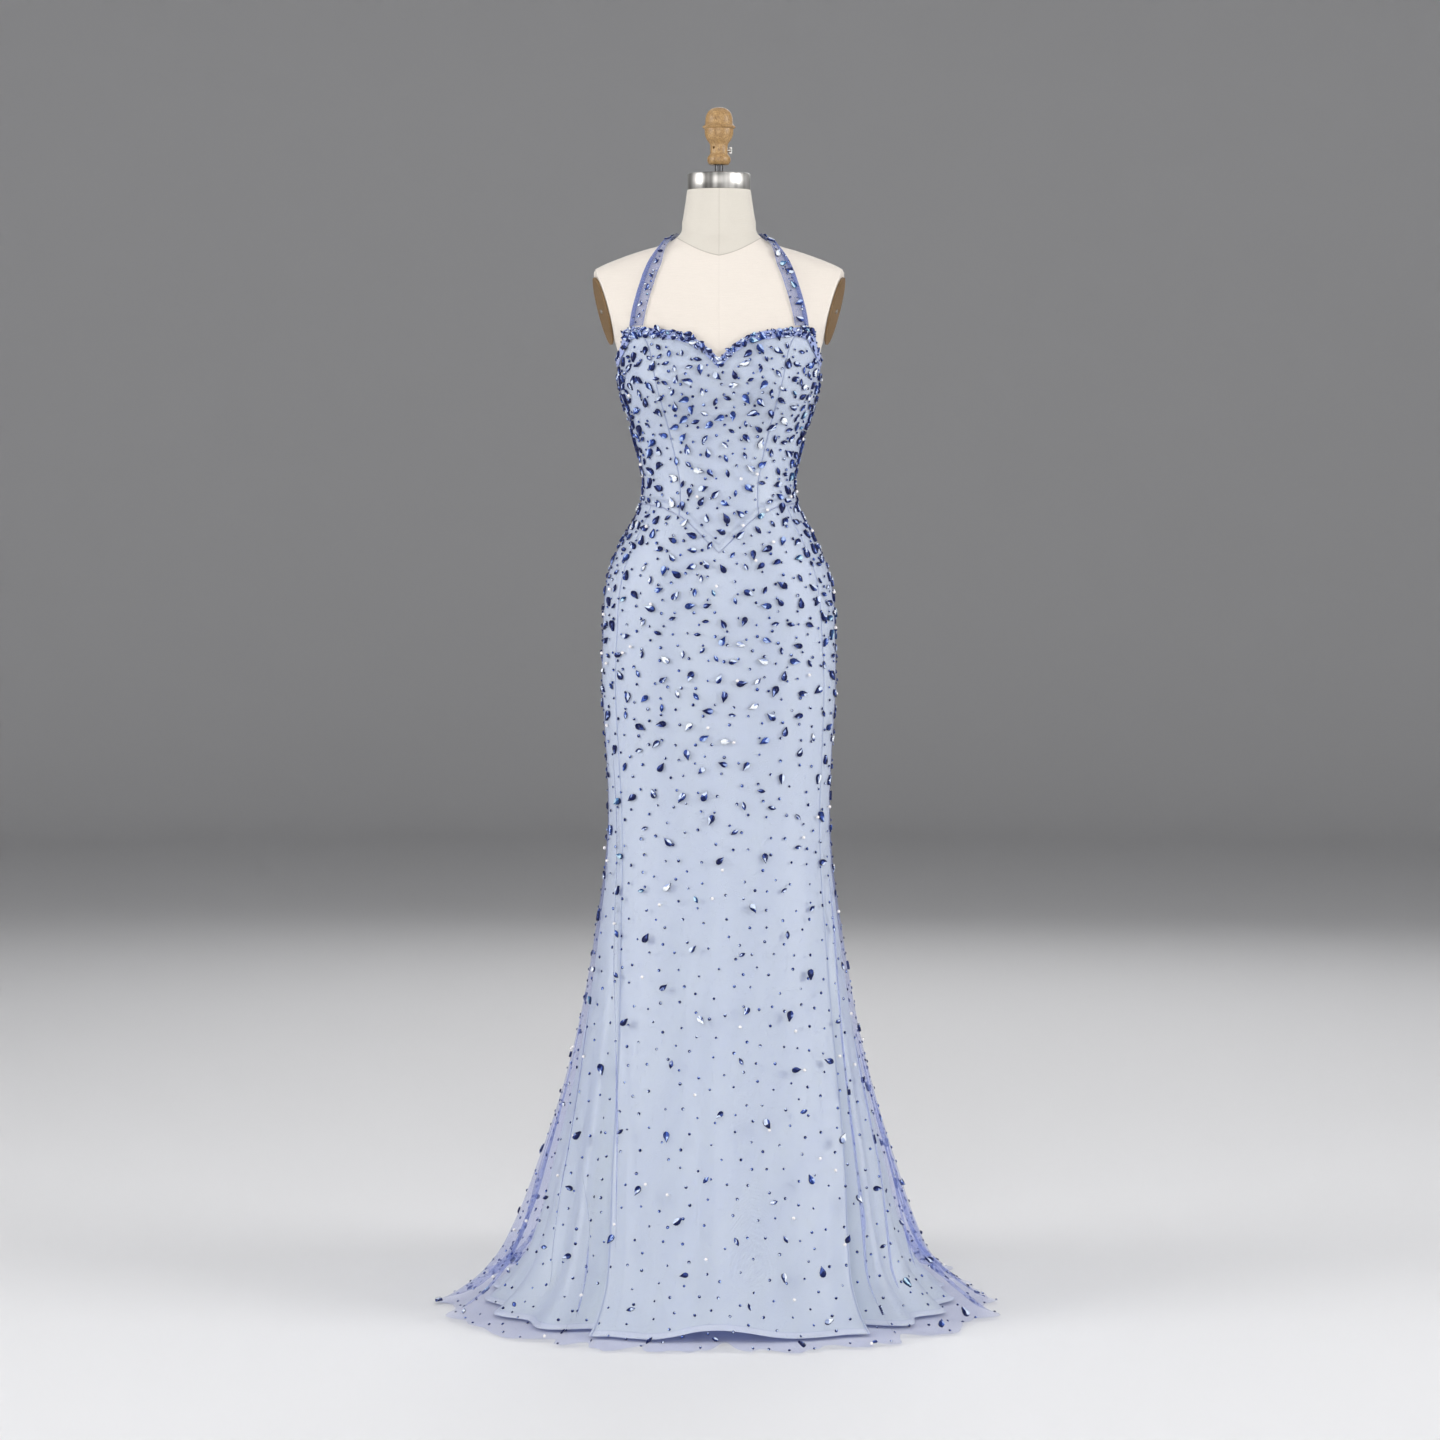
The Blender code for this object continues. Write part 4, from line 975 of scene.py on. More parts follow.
# Painted shade darkens the satin along the grooves of its seams.
painted_seam_shade = satin.node("ShaderNodeAttribute", {}, output="Fac", attribute_name="seam")
tone = satin.mix(painted_seam_shade * painted_seam_shade * 0.55, tone, (0.26, 0.32, 0.48))
satin.feed("Base Color", tone)
satin.feed("Roughness", runs * 0.14 + 0.36)
satin.bump(runs * 0.7 + twill * 0.3, 0.0003, 0.35)

# Part of the dress, its rows, the columns of its front seam and of its next one
for part, rows, front, middle in (("bodice", (0, WAIST_ROW), PRINCESS, SIDE),
                                  ("skirt", (WAIST_ROW, HEM_ROW), RIDGE, BACK_PRINCESS)):
    satin_panel(part + "_front", (-front, front), rows)
    satin_panel(part + "_side_left", (front, middle), rows)
    satin_panel(part + "_side_right", (-middle, -front), rows)
    satin_panel(part + "_back_left", (middle, CENTRE_BACK), rows)
    satin_panel(part + "_back_right", (-CENTRE_BACK, -middle), rows)

# ==== Tulle overlay =======================================================================
# One layer of sheer periwinkle net lies over the satin from the neckline down, stands
# away from it below the knee and spreads on the floor, with narrow pressed pleats and a
# rippled raw hem.

LAYER_GAP = 0.0004
TULLE_WALL = 0.0010

# height, at the left side, the right side, the front and the back
TULLE_SPREAD = (
    (0.000, 0.0800, 0.0800, 0.0780, 0.1200), (0.025, 0.0600, 0.0580, 0.0610, 0.0950),
    (0.070, 0.0390, 0.0470, 0.0440, 0.0740), (0.140, 0.0290, 0.0370, 0.0370, 0.0560),
    (0.240, 0.0180, 0.0240, 0.0240, 0.0360), (0.350, 0.0120, 0.0155, 0.0160, 0.0240),
    (0.470, 0.0080, 0.0095, 0.0100, 0.0130), (0.590, 0.0040, 0.0050, 0.0050, 0.0060),
    (0.700, 0.0010, 0.0010, 0.0010, 0.0010), (0.800, 0.0000, 0.0000, 0.0000, 0.0000),
)
DRAWN_IN_AT = 108.0
DRAWN_IN_OVER = 24.0
DRAWN_IN_BY = 0.40
TULLE_BRIDGES = 0.55
RIPPLE_OUT = 0.005
RIPPLE_LIFT = 0.003

# Small waves of the raw hem: waves a column, where they start, out, height they reach to
HEM_WAVES = (
    (0.37, 0.7, 0.0060, 0.32), (0.71, 2.2, 0.0046, 0.20), (1.13, 5.1, 0.0030, 0.12),
    (1.57, 1.3, 0.0018, 0.06),
)

# Pulls in the hem: column, how far in, how far off the floor, half width in columns
HEM_PULLS = (
    (0.25, 0.012, 0.0095, 0.42), (-6.4, 0.011, 0.0030, 0.75), (-3.4, 0.006, 0.0015, 0.80),
    (4.4, 0.007, 0.0020, 0.75), (7.5, 0.006, 0.0020, 0.85), (-10.8, 0.010, 0.0040, 0.80),
    (11.4, 0.010, 0.0035, 0.85), (16.3, 0.012, 0.0040, 0.80), (-15.4, 0.012, 0.0035, 0.75),
    (-20.4, 0.012, 0.0040, 0.80), (21.2, 0.014, 0.0040, 0.75), (-23.8, 0.010, 0.0030, 0.70),
)
# Lifts of the hem off the floor: waves a column, where they start, height
HEM_LIFTS = ((0.23, 0.4, 0.0018), (0.61, 2.9, 0.0012))

# Narrow pleats: column at the height where it starts, column at the floor, height where
# it starts, height where it opens out again, width
PLEATS_FRONT = (
    (-12.4, -12.0, 0.30, 0.03, 0.0030), (-11.5, -10.6, 0.46, 0.05, 0.0036),
    (-10.4, -8.6, 0.50, 0.03, 0.0042), (-9.0, -6.7, 0.27, 0.01, 0.0045),
    (-8.2, -5.3, 0.84, 0.09, 0.0062), (8.5, 6.7, 0.66, 0.10, 0.0060),
    (9.4, 8.5, 0.42, 0.03, 0.0048), (11.0, 10.2, 0.40, 0.04, 0.0036),
    (12.3, 11.8, 0.34, 0.05, 0.0030),
)
PLEATS_LEFT = (
    (14.6, 14.2, 0.40, 0.04, 0.0055), (16.4, 16.1, 0.30, 0.02, 0.0050),
    (18.6, 18.3, 0.46, 0.06, 0.0060), (20.8, 20.6, 0.28, 0.03, 0.0050),
    (23.2, 22.8, 0.52, 0.05, 0.0060),
)
PLEATS_RIGHT = (
    (-23.0, -22.6, 0.44, 0.06, 0.0060), (-20.6, -20.9, 0.34, 0.03, 0.0050),
    (-18.8, -18.3, 0.40, 0.05, 0.0055), (-16.3, -16.4, 0.48, 0.03, 0.0060),
    (-14.5, -14.1, 0.32, 0.04, 0.0050),
)
# How the net doubles back in a pleat: share of its width sideways, layers out
PLEAT_TURNS = ((-0.55, 0.0), (-0.20, 0.6), (0.30, 1.8), (0.75, 2.6), (1.00, 2.4),
               (0.80, 1.7), (0.40, 1.2), (0.25, 0.9), (0.45, 0.6), (0.90, 0.3), (1.50, 0.0))
PLEAT_STEP = 0.035
PLEAT_LAYER = 0.0012
PLEAT_UNEVEN = ((31.0, 0.22), (77.0, 0.14))      # waves of its width down its length
PLEAT_FULL = 0.002       # width from which a pleat's layers stand fully apart
PLEAT_GROWTH = 0.6
PLEAT_OPENS_OVER = 0.04
FINE_ROW = 12            # rows of points lie closer from this row down
UPPER_ROWS = 61
PER_LOWER_ROW = 11
NET_PER_COLUMN = 11
NET_LEAST = 0.0004       # off the floor
HEM_REACH = 1.6          # rows over which the hem's ripples and pulls grow


def tulle_face(columns, rows):
    """Middle of the net at column and row numbers, before its pleats are pressed."""
    rows = np.clip(rows, 0, HEM_ROW)
    satin_in = satin_inside(columns, rows)
    heights = satin_in[..., 2].copy()
    angles = column_angles(columns, heights)
    out = sides_of(satin_inside, columns, rows)[1]
    points = satin_in + out * (SATIN_WALL + LAYER_GAP + TULLE_WALL / 2)
    spreads = along(TULLE_SPREAD, heights)
    facing = np.cos(np.radians(angles))
    sides = np.where(angles > 0, spreads[..., 0], spreads[..., 1])
    ends = np.where(facing > 0, spreads[..., 2], spreads[..., 3])
    spread = sides + (ends - sides) * facing ** 2
    behind = (np.abs(angles) - DRAWN_IN_AT) / DRAWN_IN_OVER
    spread = spread * (1 - DRAWN_IN_BY * np.exp(-behind ** 2))
    spread = spread + np.maximum(0, -folds_out(columns, heights)) * TULLE_BRIDGES
    at_hem = np.clip(rows - HEM_ROW + HEM_REACH, 0, HEM_REACH) / HEM_REACH
    odd = 0.5 - 0.5 * np.cos(pi * columns)
    spread = spread + RIPPLE_OUT * odd * at_hem ** 2
    for often, start_at, size, reach in HEM_WAVES:
        grown = np.maximum(0, 1 - heights / reach) ** 1.5
        spread = spread + size * grown * np.sin(2 * pi * often * columns + start_at)
    on_floor = 0.0006 + RIPPLE_LIFT * 0.5 * (1 - odd)
    for column, deep, lift, half in HEM_PULLS:
        near = np.exp(-((columns - column) / half) ** 2)
        spread = spread - deep * at_hem ** 2 * near
        on_floor = on_floor + lift * near
    points = points + outward(angles) * spread[..., None]
    for often, start_at, size in HEM_LIFTS:
        on_floor = on_floor + size * (0.5 + 0.5 * np.sin(2 * pi * often * columns + start_at))
    points[..., 2] += (on_floor - heights) * at_hem ** 3
    return points


def tulle_panel(name, edges, pleats):
    """One cut piece of net, with its pleats pressed in."""
    row_numbers = np.concatenate((
        np.linspace(0, FINE_ROW, UPPER_ROWS)[:-1],
        np.linspace(FINE_ROW, HEM_ROW, (HEM_ROW - FINE_ROW) * PER_LOWER_ROW + 1)))
    middle = 0.5 * (edges[0] + edges[1])
    guide_rows = row_heights(np.full(row_numbers.shape, middle), row_numbers)
    keys = [np.full(guide_rows.shape, float(edges[0]))]
    grown = []
    for top, foot, begins, opens, width in pleats:
        keys.append(foot + (top - foot) * np.clip(guide_rows / begins, 0, 1))
        uneven = sum(size * np.sin(often * guide_rows + top) for often, size in PLEAT_UNEVEN)
        closed = np.clip((guide_rows - opens) / (PLEAT_OPENS_OVER + opens), 0, 1)
        grown.append(np.clip(1 - guide_rows / begins, 0, 1) ** PLEAT_GROWTH * width
                     * (1 + uneven) * closed * closed * (3 - 2 * closed))
    keys.append(np.full(guide_rows.shape, float(edges[1])))
    columns, shift, lift, starts = [], [], [], []
    half = PLEAT_STEP * (len(PLEAT_TURNS) - 1) / 2
    clear = half + PLEAT_STEP * 2
    for number, key in enumerate(keys[:-1]):
        start = key + (clear if number else 0)
        end = keys[number + 1] - (clear if number < len(pleats) else 0)
        count = max(4, int(np.mean(end - start) * NET_PER_COLUMN))
        for share in np.linspace(0, 1, count):
            columns.append(start + (end - start) * share)
            shift.append(0 * key)
            lift.append(0 * key)
        if number < len(pleats):
            starts.append(len(columns))
            for turn, (sideways, layers) in enumerate(PLEAT_TURNS):
                columns.append(keys[number + 1] - half + PLEAT_STEP * turn)
                shift.append(grown[number] * (sideways - 0.5))
                lift.append(np.minimum(1, grown[number] / PLEAT_FULL) * layers * PLEAT_LAYER)
    at = np.stack(columns, 1)
    shift = np.stack(shift, 1)
    lift = np.stack(lift, 1)
    down = np.repeat(row_numbers[:, None], at.shape[1], 1)
    points = tulle_face(at, down)
    across, out = sides_of(tulle_face, at, down)
    centre = points.copy()
    run = lengths(points, 1)
    for start, size in zip(starts, grown):
        block = slice(start, start + len(PLEAT_TURNS))
        plain = run[:, block] - run[:, block].mean(1, keepdims=True)
        amount = np.clip(size / PLEAT_FULL, 0, 1)[:, None]
        points[:, block] += across[:, block] * ((shift[:, block] - plain) * amount)[..., None]
    points += out * lift[..., None]
    points[..., 2] = np.maximum(points[..., 2], NET_LEAST)
    points[:, 0] += across[:, 0] * SEAM_GAP / 2
    points[:, -1] -= across[:, -1] * SEAM_GAP / 2
    made = cloth_sheet("net_" + name, points, lengths(centre, 1), -lengths(centre, 0))
    dressed(made, tulle, "tulle", stands_for=("tulle_" + name,))
    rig.sheet(made, **cut_of(points), held="hung", rests_on=["cloth_bodice_front"])
    return made


NET_CELLS = 620.0        # a metre


def net_threads(finish, chart):
    """How much the threads round the net's small cells add to its cover."""
    cells = finish.node("ShaderNodeTexVoronoi",
                        {"Vector": chart, "Scale": NET_CELLS, "Randomness": 0.35},
                        feature="DISTANCE_TO_EDGE", voronoi_dimensions="2D")
    return cells.under(0.10, 0.12) * 0.16


tulle = Finish("periwinkle_tulle", Base_Color=(0.21, 0.27, 0.66, 1.0), Roughness=0.7,
               Specular_IOR_Level=0.2, Sheen_Weight=0.25, Sheen_Roughness=0.45,
               Sheen_Tint=(0.60, 0.64, 1.0, 1.0))
chart = tulle.chart()
cloudy = tulle.noise(chart, (18.0, 2.2, 1.0))
tulle.feed("Alpha", net_threads(tulle, chart) + cloudy * 0.10 + 0.12)

tulle_panel("front", (-SIDE, SIDE), PLEATS_FRONT)
tulle_panel("back_left", (SIDE, CENTRE_BACK), PLEATS_LEFT)
tulle_panel("back_right", (-CENTRE_BACK, -SIDE), PLEATS_RIGHT)

# ==== Back edge and zip ===================================================================
# Behind the beaded band the top edge is bound with a narrow fold of the net. The zip is
# concealed in the centre back seam, which two soft ridges follow down to the hips. The
# slider and its pull keep their own shapes, in steel.

ZIP_END = 9.6            # row where the zip ends

# Sections of the two edges: across, out from the net
BOUND_SECTION = ((-0.0040, 0.0), (-0.0034, 0.0006), (-0.0018, 0.0010), (0.0, 0.0011),
                 (0.0018, 0.0010), (0.0034, 0.0006), (0.0040, 0.0))
ZIP_SECTION = ((-0.0050, 0.0), (-0.0043, 0.0004), (-0.0030, 0.0004), (-0.0023, 0.0010),
               (-0.0014, 0.0012), (-0.0006, 0.0009), (0.0, 0.0001), (0.0006, 0.0009),
               (0.0014, 0.0012), (0.0023, 0.0010), (0.0030, 0.0004), (0.0043, 0.0004),
               (0.0050, 0.0))


def piping(name, columns, rows, section, rests_on):
    """A narrow soft edge of folded net along a line of column and row numbers."""
    line = tulle_face(columns, rows)
    out = sides_of(tulle_face, columns, rows)[1]
    beside = unit(np.cross(out, np.gradient(line, axis=0)))
    section = np.array(section)
    points = (line[:, None] - beside[:, None] * section[:, :1]
              + out[:, None] * (section[:, 1:] + LAYER_GAP))
    across, down = lengths(points, 1), lengths(points, 0)
    made = cloth_sheet(name, points, across, down)
    dressed(made, edge_net, "tulle")
    flat = (max(0.010, float(across[0, -1])), float(down[:, 3].max()))
    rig.sheet(made, flat=flat, held="folded", rests_on=[rests_on])


edge_net = Finish("folded_edge_net", Roughness=0.65, Specular_IOR_Level=0.2,
                  Sheen_Weight=0.25, Sheen_Roughness=0.4, Sheen_Tint=(0.7, 0.74, 1.0, 1.0))
edge_runs = edge_net.noise(edge_net.chart(), (900.0, 240.0, 1.0))
edge_net.feed("Base Color", edge_net.mix(edge_runs, (0.20, 0.25, 0.52), (0.42, 0.48, 0.74)))
for side, name in ((1, "left"), (-1, "right")):
    bound = np.linspace(SIDE - 3.0, CENTRE_BACK - 0.02, 90) * side
    piping("bound_edge_" + name, bound, np.full(90, 0.10), BOUND_SECTION,
           "cloth_bodice_back_" + name)
piping("zip_ridges", np.full(80, float(CENTRE_BACK)), np.linspace(0.20, ZIP_END, 80),
       ZIP_SECTION, "cloth_bodice_back_left")
refinished("zip_slider", steel)
refinished("zip_pull", steel)

# ==== Halter straps =======================================================================
# Each strap is a length of the same net folded lengthwise, so its outer half is denser.
# It is sewn in at the neckline's peak, lies over the shoulder and meets its fellow
# behind the neck.

STRAP_STAND = 0.0016
STRAP_FOOT = 0.0006
# x, height, half width across, half width up
STRAP_FRONT = (
    (0.1205, 1.4530, 0.0100, 0.0010), (0.1170, 1.4700, 0.0100, 0.0015),
    (0.1120, 1.4900, 0.0098, 0.0020), (0.1060, 1.5100, 0.0096, 0.0025),
    (0.1000, 1.5280, 0.0092, 0.0030), (0.0930, 1.5440, 0.0085, 0.0035),
)
# x, y, height, then to the outer or lower edge: across, back, up
STRAP_BACK = (
    (0.0845, -0.0398, 1.5618, 0.0045, 0.0070, 0.0035),
    (0.0768, -0.0240, 1.5748, 0.0030, 0.0100, 0.0025),
    (0.0678, 0.0045, 1.5826, 0.0040, 0.0078, -0.0040),
    (0.0645, 0.0205, 1.5818, 0.0048, 0.0066, -0.0060),
    (0.0590, 0.0350, 1.5805, 0.0048, 0.0050, -0.0080),
    (0.0415, 0.0500, 1.5815, 0.0015, 0.0028, -0.0085),
    (0.0218, 0.0592, 1.5820, 0.0008, 0.0013, -0.0090),
    (0.00015, 0.0620, 1.5825, 0.0, 0.0010, -0.0095),
)
STRAP_STEPS = 8          # rows between two of the table's


def strap_guides():
    """Inner edge, middle and outer edge of the left strap at each row of the tables."""
    rows = []
    for number, (x, height, across, up) in enumerate(STRAP_FRONT):
        row = []
        for part in (-1, 0, 1):
            at_x = x + across * part
            at_height = NECKLINE_TOP + STRAP_FOOT if number == 0 else height + up * part
            half_width, front, _ = along(BODY, np.array(at_height))
            round_off = np.sqrt(1 - min(at_x / half_width, 0.999) ** 2)
            depth = -front * round_off - bust(at_x, np.array(at_height)) - STRAP_STAND
            row.append((at_x, float(depth), at_height))
        rows.append(row)
    for x, y, height, across, back, up in STRAP_BACK:
        rows.append([(x + across * part, y + back * part, height + up * part)
                     for part in (-1, 0, 1)])
    return np.array(rows)


guides = strap_guides()
guide_table = np.concatenate((np.arange(len(guides))[:, None], guides.reshape(-1, 9)), 1)
strap_rows = along(guide_table, np.linspace(0, len(guides) - 1,
                                            (len(guides) - 1) * STRAP_STEPS + 1))
strap_rows = strap_rows.reshape(-1, 3, 3)


def strap_face(places, shares):
    """Points of the left strap: place along it from 0 to 1, share across from -1 to 1."""
    at = np.clip(places, 0, 1) * (len(strap_rows) - 1)
    i = np.clip(np.floor(at).astype(int), 0, len(strap_rows) - 2)
    s = (at - i)[..., None]
    row = strap_rows[i] * (1 - s[..., None]) + strap_rows[i + 1] * s[..., None]
    shares = shares[..., None]
    inner, middle, outer = row[..., 0, :], row[..., 1, :], row[..., 2, :]
    return (inner * (shares * shares - shares) / 2 + middle * (1 - shares * shares)
            + outer * (shares * shares + shares) / 2)


def strap_out(places, shares):
    """Unit vectors across the left strap and out from it."""
    ahead = strap_face(places + 0.01, shares) - strap_face(places - 0.01, shares)
    across = strap_face(places, shares + 0.1) - strap_face(places, shares - 0.1)
    return unit(across), unit(np.cross(across, ahead))


STRAP_HALF = 0.010
STRAP_FOLD = 0.32        # share across where the denser fold starts
strap_net = Finish("folded_strap_net", Roughness=0.65, Specular_IOR_Level=0.2,
                   Sheen_Weight=0.25, Sheen_Roughness=0.4, Sheen_Tint=(0.7, 0.74, 1.0, 1.0))
chart = strap_net.chart()
strap_net.feed("Alpha", net_threads(strap_net, chart) + 0.40)
strap_runs = strap_net.noise(chart, (700.0, 12.0, 1.0))
tone = strap_net.mix(strap_runs, (0.20, 0.25, 0.50), (0.32, 0.37, 0.62))
inner_part = strap_net.part(chart, 0).under(STRAP_FOLD * STRAP_HALF, 0.0010)
strap_net.feed("Base Color", strap_net.mix(inner_part, (0.165, 0.215, 0.49), tone))

# Layers of the folded net: share across where it starts and ends, how far out it lies
STRAP_LAYERS = ((-1.0, 1.0, 0.0004), (-1.0, -0.86, 0.0008), (STRAP_FOLD, 1.0, 0.0010),
                (STRAP_FOLD + 0.12, 0.98, 0.0015))
STRAP_LENGTH = 0.285
STRAP_LINES = (105, 9)   # of points along it and across it
STRAP_GATHER = 0.00025

for side, name in ((1, "left"), (-1, "right")):
    layers = []
    for start, end, out_by in STRAP_LAYERS:
        places, shares = np.meshgrid(np.linspace(0, 1, STRAP_LINES[0]),
                                     np.linspace(start, end, STRAP_LINES[1]), indexing="ij")
        gather = STRAP_GATHER * np.sin(shares * 14 + places * 9) * np.sin(places * 40)
        points = (strap_face(places, shares)
                  + strap_out(places, shares)[1] * (out_by + gather)[..., None])
        across_map = shares * STRAP_HALF
        down_map = places * STRAP_LENGTH
        points, across_map, down_map = points[::-1], across_map[::-1], down_map[::-1]
        if side < 0:
            points = points[:, ::-1] * (-1, 1, 1)
            across_map = across_map[:, ::-1]
        layers.append(cloth_sheet("strap_layer", points, across_map, down_map))
    for layer in layers:
        layer.select_set(True)
    bpy.context.view_layer.objects.active = layers[0]
    bpy.ops.object.join()
    strap = bpy.context.object
    strap.name = "folded_strap_" + name
    dressed(strap, strap_net, "tulle", stands_for=("strap_" + name,))
    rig.sheet(strap, flat=(0.040, STRAP_LENGTH), held="folded", rests_on=[form_linen.name])

# ==== Stones ==============================================================================
# Sapphire pears and navettes in low claw settings, small round rhinestones and a few
# pearls are sewn all over the net: close on the bodice and at the sides, far apart at the
# hem. A crowded band of them edges the neckline.

random = np.random.default_rng(7)


def cut_stone(kind, sides, table, crown, girdle):
    """A stone one unit long in a low setting: its corners, its faces, the part of the stone
    that each face belongs to (0 setting, 1 crown, 2 table) and the way it looks."""
    bpy.ops.mesh.primitive_cylinder_add(vertices=sides, radius=0.5, depth=girdle,
                                        location=(0.0, 0.0, girdle / 2))
    stone = bpy.context.object
    bpy.ops.object.transform_apply(location=True, rotation=True, scale=True)
    for face in stone.data.polygons:
        face.select = face.normal.z > 0.9
    bpy.ops.object.mode_set(mode="EDIT")
    bpy.ops.mesh.select_mode(type="FACE")
    bpy.ops.mesh.inset(thickness=0.5 - table / 2, depth=crown)
    bpy.ops.mesh.poke()
    bpy.ops.object.mode_set(mode="OBJECT")
    corners = np.array([vertex.co for vertex in stone.data.vertices])
    faces = [tuple(face.vertices) for face in stone.data.polygons]
    level = np.array([face.center.z for face in stone.data.polygons])
    looks = np.array([np.arctan2(face.center.y, face.center.x)
                      for face in stone.data.polygons])
    part = np.where(level > girdle + crown * 0.9, 2, np.where(level > girdle * 1.01, 1, 0))
    if kind == "pear":
        corners[:, 0] *= 0.64 * (1 - np.clip(corners[:, 1] + 0.5, 0, 1) ** 2.0 * 0.90)
    if kind == "navette":
        corners[:, 0] *= 0.50 * np.clip(1 - 0.75 * np.abs(corners[:, 1] * 2) ** 2.2, 0, 1)
    bpy.data.objects.remove(stone)
    return corners, faces, part, looks


PEAR = cut_stone("pear", 12, 0.50, 0.12, 0.11)
NAVETTE = cut_stone("navette", 12, 0.48, 0.11, 0.10)
ROUND = cut_stone("round", 8, 0.50, 0.20, 0.16)

# Colours of a stone's facets: setting, painted shaded side, middle, painted bright side with glints
LOOKS = (
    # share of stones, share of its table painted bright, the four colours
    (0.03, 0.50, ((0.020, 0.036, 0.090), (0.012, 0.045, 0.150), (0.090, 0.220, 0.430),
                  (0.520, 0.720, 0.850))),
    (0.12, 0.62, ((0.016, 0.022, 0.080), (0.026, 0.040, 0.150), (0.340, 0.410, 0.620),
                  (0.820, 0.860, 0.910))),
    (0.30, 0.16, ((0.012, 0.017, 0.072), (0.006, 0.010, 0.062), (0.028, 0.050, 0.210),
                  (0.300, 0.390, 0.700))),
    (0.38, 0.40, ((0.012, 0.017, 0.072), (0.007, 0.013, 0.076), (0.048, 0.084, 0.300),
                  (0.620, 0.700, 0.860))),
    (0.17, 0.34, ((0.016, 0.028, 0.110), (0.012, 0.030, 0.150), (0.050, 0.100, 0.400),
                  (0.420, 0.540, 0.860))),
)
FACET_NOISE = 0.32


def stones(name, cut, places, outs, ways, sizes, blue=0.0, finish=None):
    """Many stones of one cut in one mesh, their facets coloured in their blues with painted highlights, glints and
    shade. Each way is where a stone's point looks.
    """
    corners, faces, part, looks = cut
    count = len(places)
    turn = np.stack((np.cross(ways, outs), ways, outs), -1)
    spots = np.einsum("nij,kj->nki", turn, corners) * sizes[:, None, None] + places[:, None]
    loops = np.concatenate([np.array(face) for face in faces])
    totals = np.array([len(face) for face in faces])
    mesh = bpy.data.meshes.new(name)
    mesh.vertices.add(count * len(corners))
    mesh.vertices.foreach_set("co", spots.ravel())
    mesh.loops.add(count * len(loops))
    every = loops[None] + (np.arange(count) * len(corners))[:, None]
    mesh.loops.foreach_set("vertex_index", every.ravel())
    mesh.polygons.add(count * len(faces))
    ends = np.cumsum(np.tile(totals, count))
    mesh.polygons.foreach_set("loop_start", ends - np.tile(totals, count))
    mesh.update(calc_edges=True)
    shares = np.cumsum([look[0] for look in LOOKS])
    pick = np.searchsorted(shares, np.clip(random.random(count) + blue, 0, 0.999) * shares[-1])
    bright = np.array([look[1] for look in LOOKS])[pick]
    tones = np.array([look[2] for look in LOOKS])
    # Painted light and shade: each stone is given a side of its own that light is painted as coming from, and the
    # facets opposite are painted bright, with glints, the rest darker.
    painted_light_from = random.random((count, 1)) * 2 * pi
    painted_lit = (np.cos(looks[None] - painted_light_from)
           + FACET_NOISE * random.normal(0, 1, (count, len(faces))))
    edge = np.where(part == 2, np.cos(pi * bright)[:, None] * 1.2,
                    (1.20 - 0.9 * bright)[:, None])
    level = np.where(painted_lit > edge, 3, np.where(painted_lit > edge - 0.75, 2, 1))
    level[:, part == 0] = 0
    colour = tones[pick[:, None], level] * (0.8 + 0.4 * random.random((count, len(faces), 1)))
    layer = mesh.attributes.new("facet", "FLOAT_COLOR", "FACE")
    rgba = np.concatenate((colour, np.ones((count, len(faces), 1))), -1)
    layer.data.foreach_set("color", rgba.ravel())
    made = bpy.data.objects.new(name, mesh)
    bpy.context.scene.collection.objects.link(made)
    return dressed(made, finish or crystal, "crystal")


crystal = Finish("sapphire_crystal", Roughness=0.14, Specular_IOR_Level=0.17)
# The facet colours are the stones' blues with painted highlights, glints and shade.
facet = crystal.node("ShaderNodeAttribute", {}, output="Color", attribute_name="facet")
crystal.feed("Base Color", facet)

# Least distance between stones at each height, in millimetres: large, small
STONE_SPACING = (
    (0.00, 70.0, 25.0), (0.20, 66.0, 24.0), (0.40, 60.0, 23.5), (0.60, 52.0, 22.5),
    (0.78, 35.0, 21.0), (0.90, 28.5, 20.5), (1.02, 24.5, 19.5), (1.15, 21.5, 18.5),
    (1.30, 18.5, 16.5), (1.45, 17.5, 16.0),
)
SPACING_SPREAD = (0.80, 1.22)    # of each stone's own distance
SIDE_CROWDING = 0.75
CROWDED_FROM = 1.10
LARGE_TRIES = 9000
SMALL_TRIES = 20000
LARGE_APART = 0.0095
LARGE_REACH = 0.0062     # of a large stone, for the small ones beside it
LARGE_SIZES = (0.0105, 0.0138)
SMALL_SIZES = (0.0034, 0.0050)
PEAR_SHARE = 0.62
PEARL_SHARE = 0.07
ROUND_BLUE = 0.22        # moves the round stones' looks towards blue


def spacing_at(places, angles, kind):
    """Least distance to the next stone, closer at the sides of the bodice and hips."""
    wide = along(STONE_SPACING, places[:, 2])[:, kind] / 1000
    side = np.clip((np.abs(angles) - 50) / 22, 0, 1) * np.clip((134 - np.abs(angles)) / 22, 0, 1)
    high = np.clip((places[:, 2] - 0.80) / (CROWDED_FROM - 0.80), 0, 1)
    return wide * (1 - (1 - SIDE_CROWDING) * side * high)


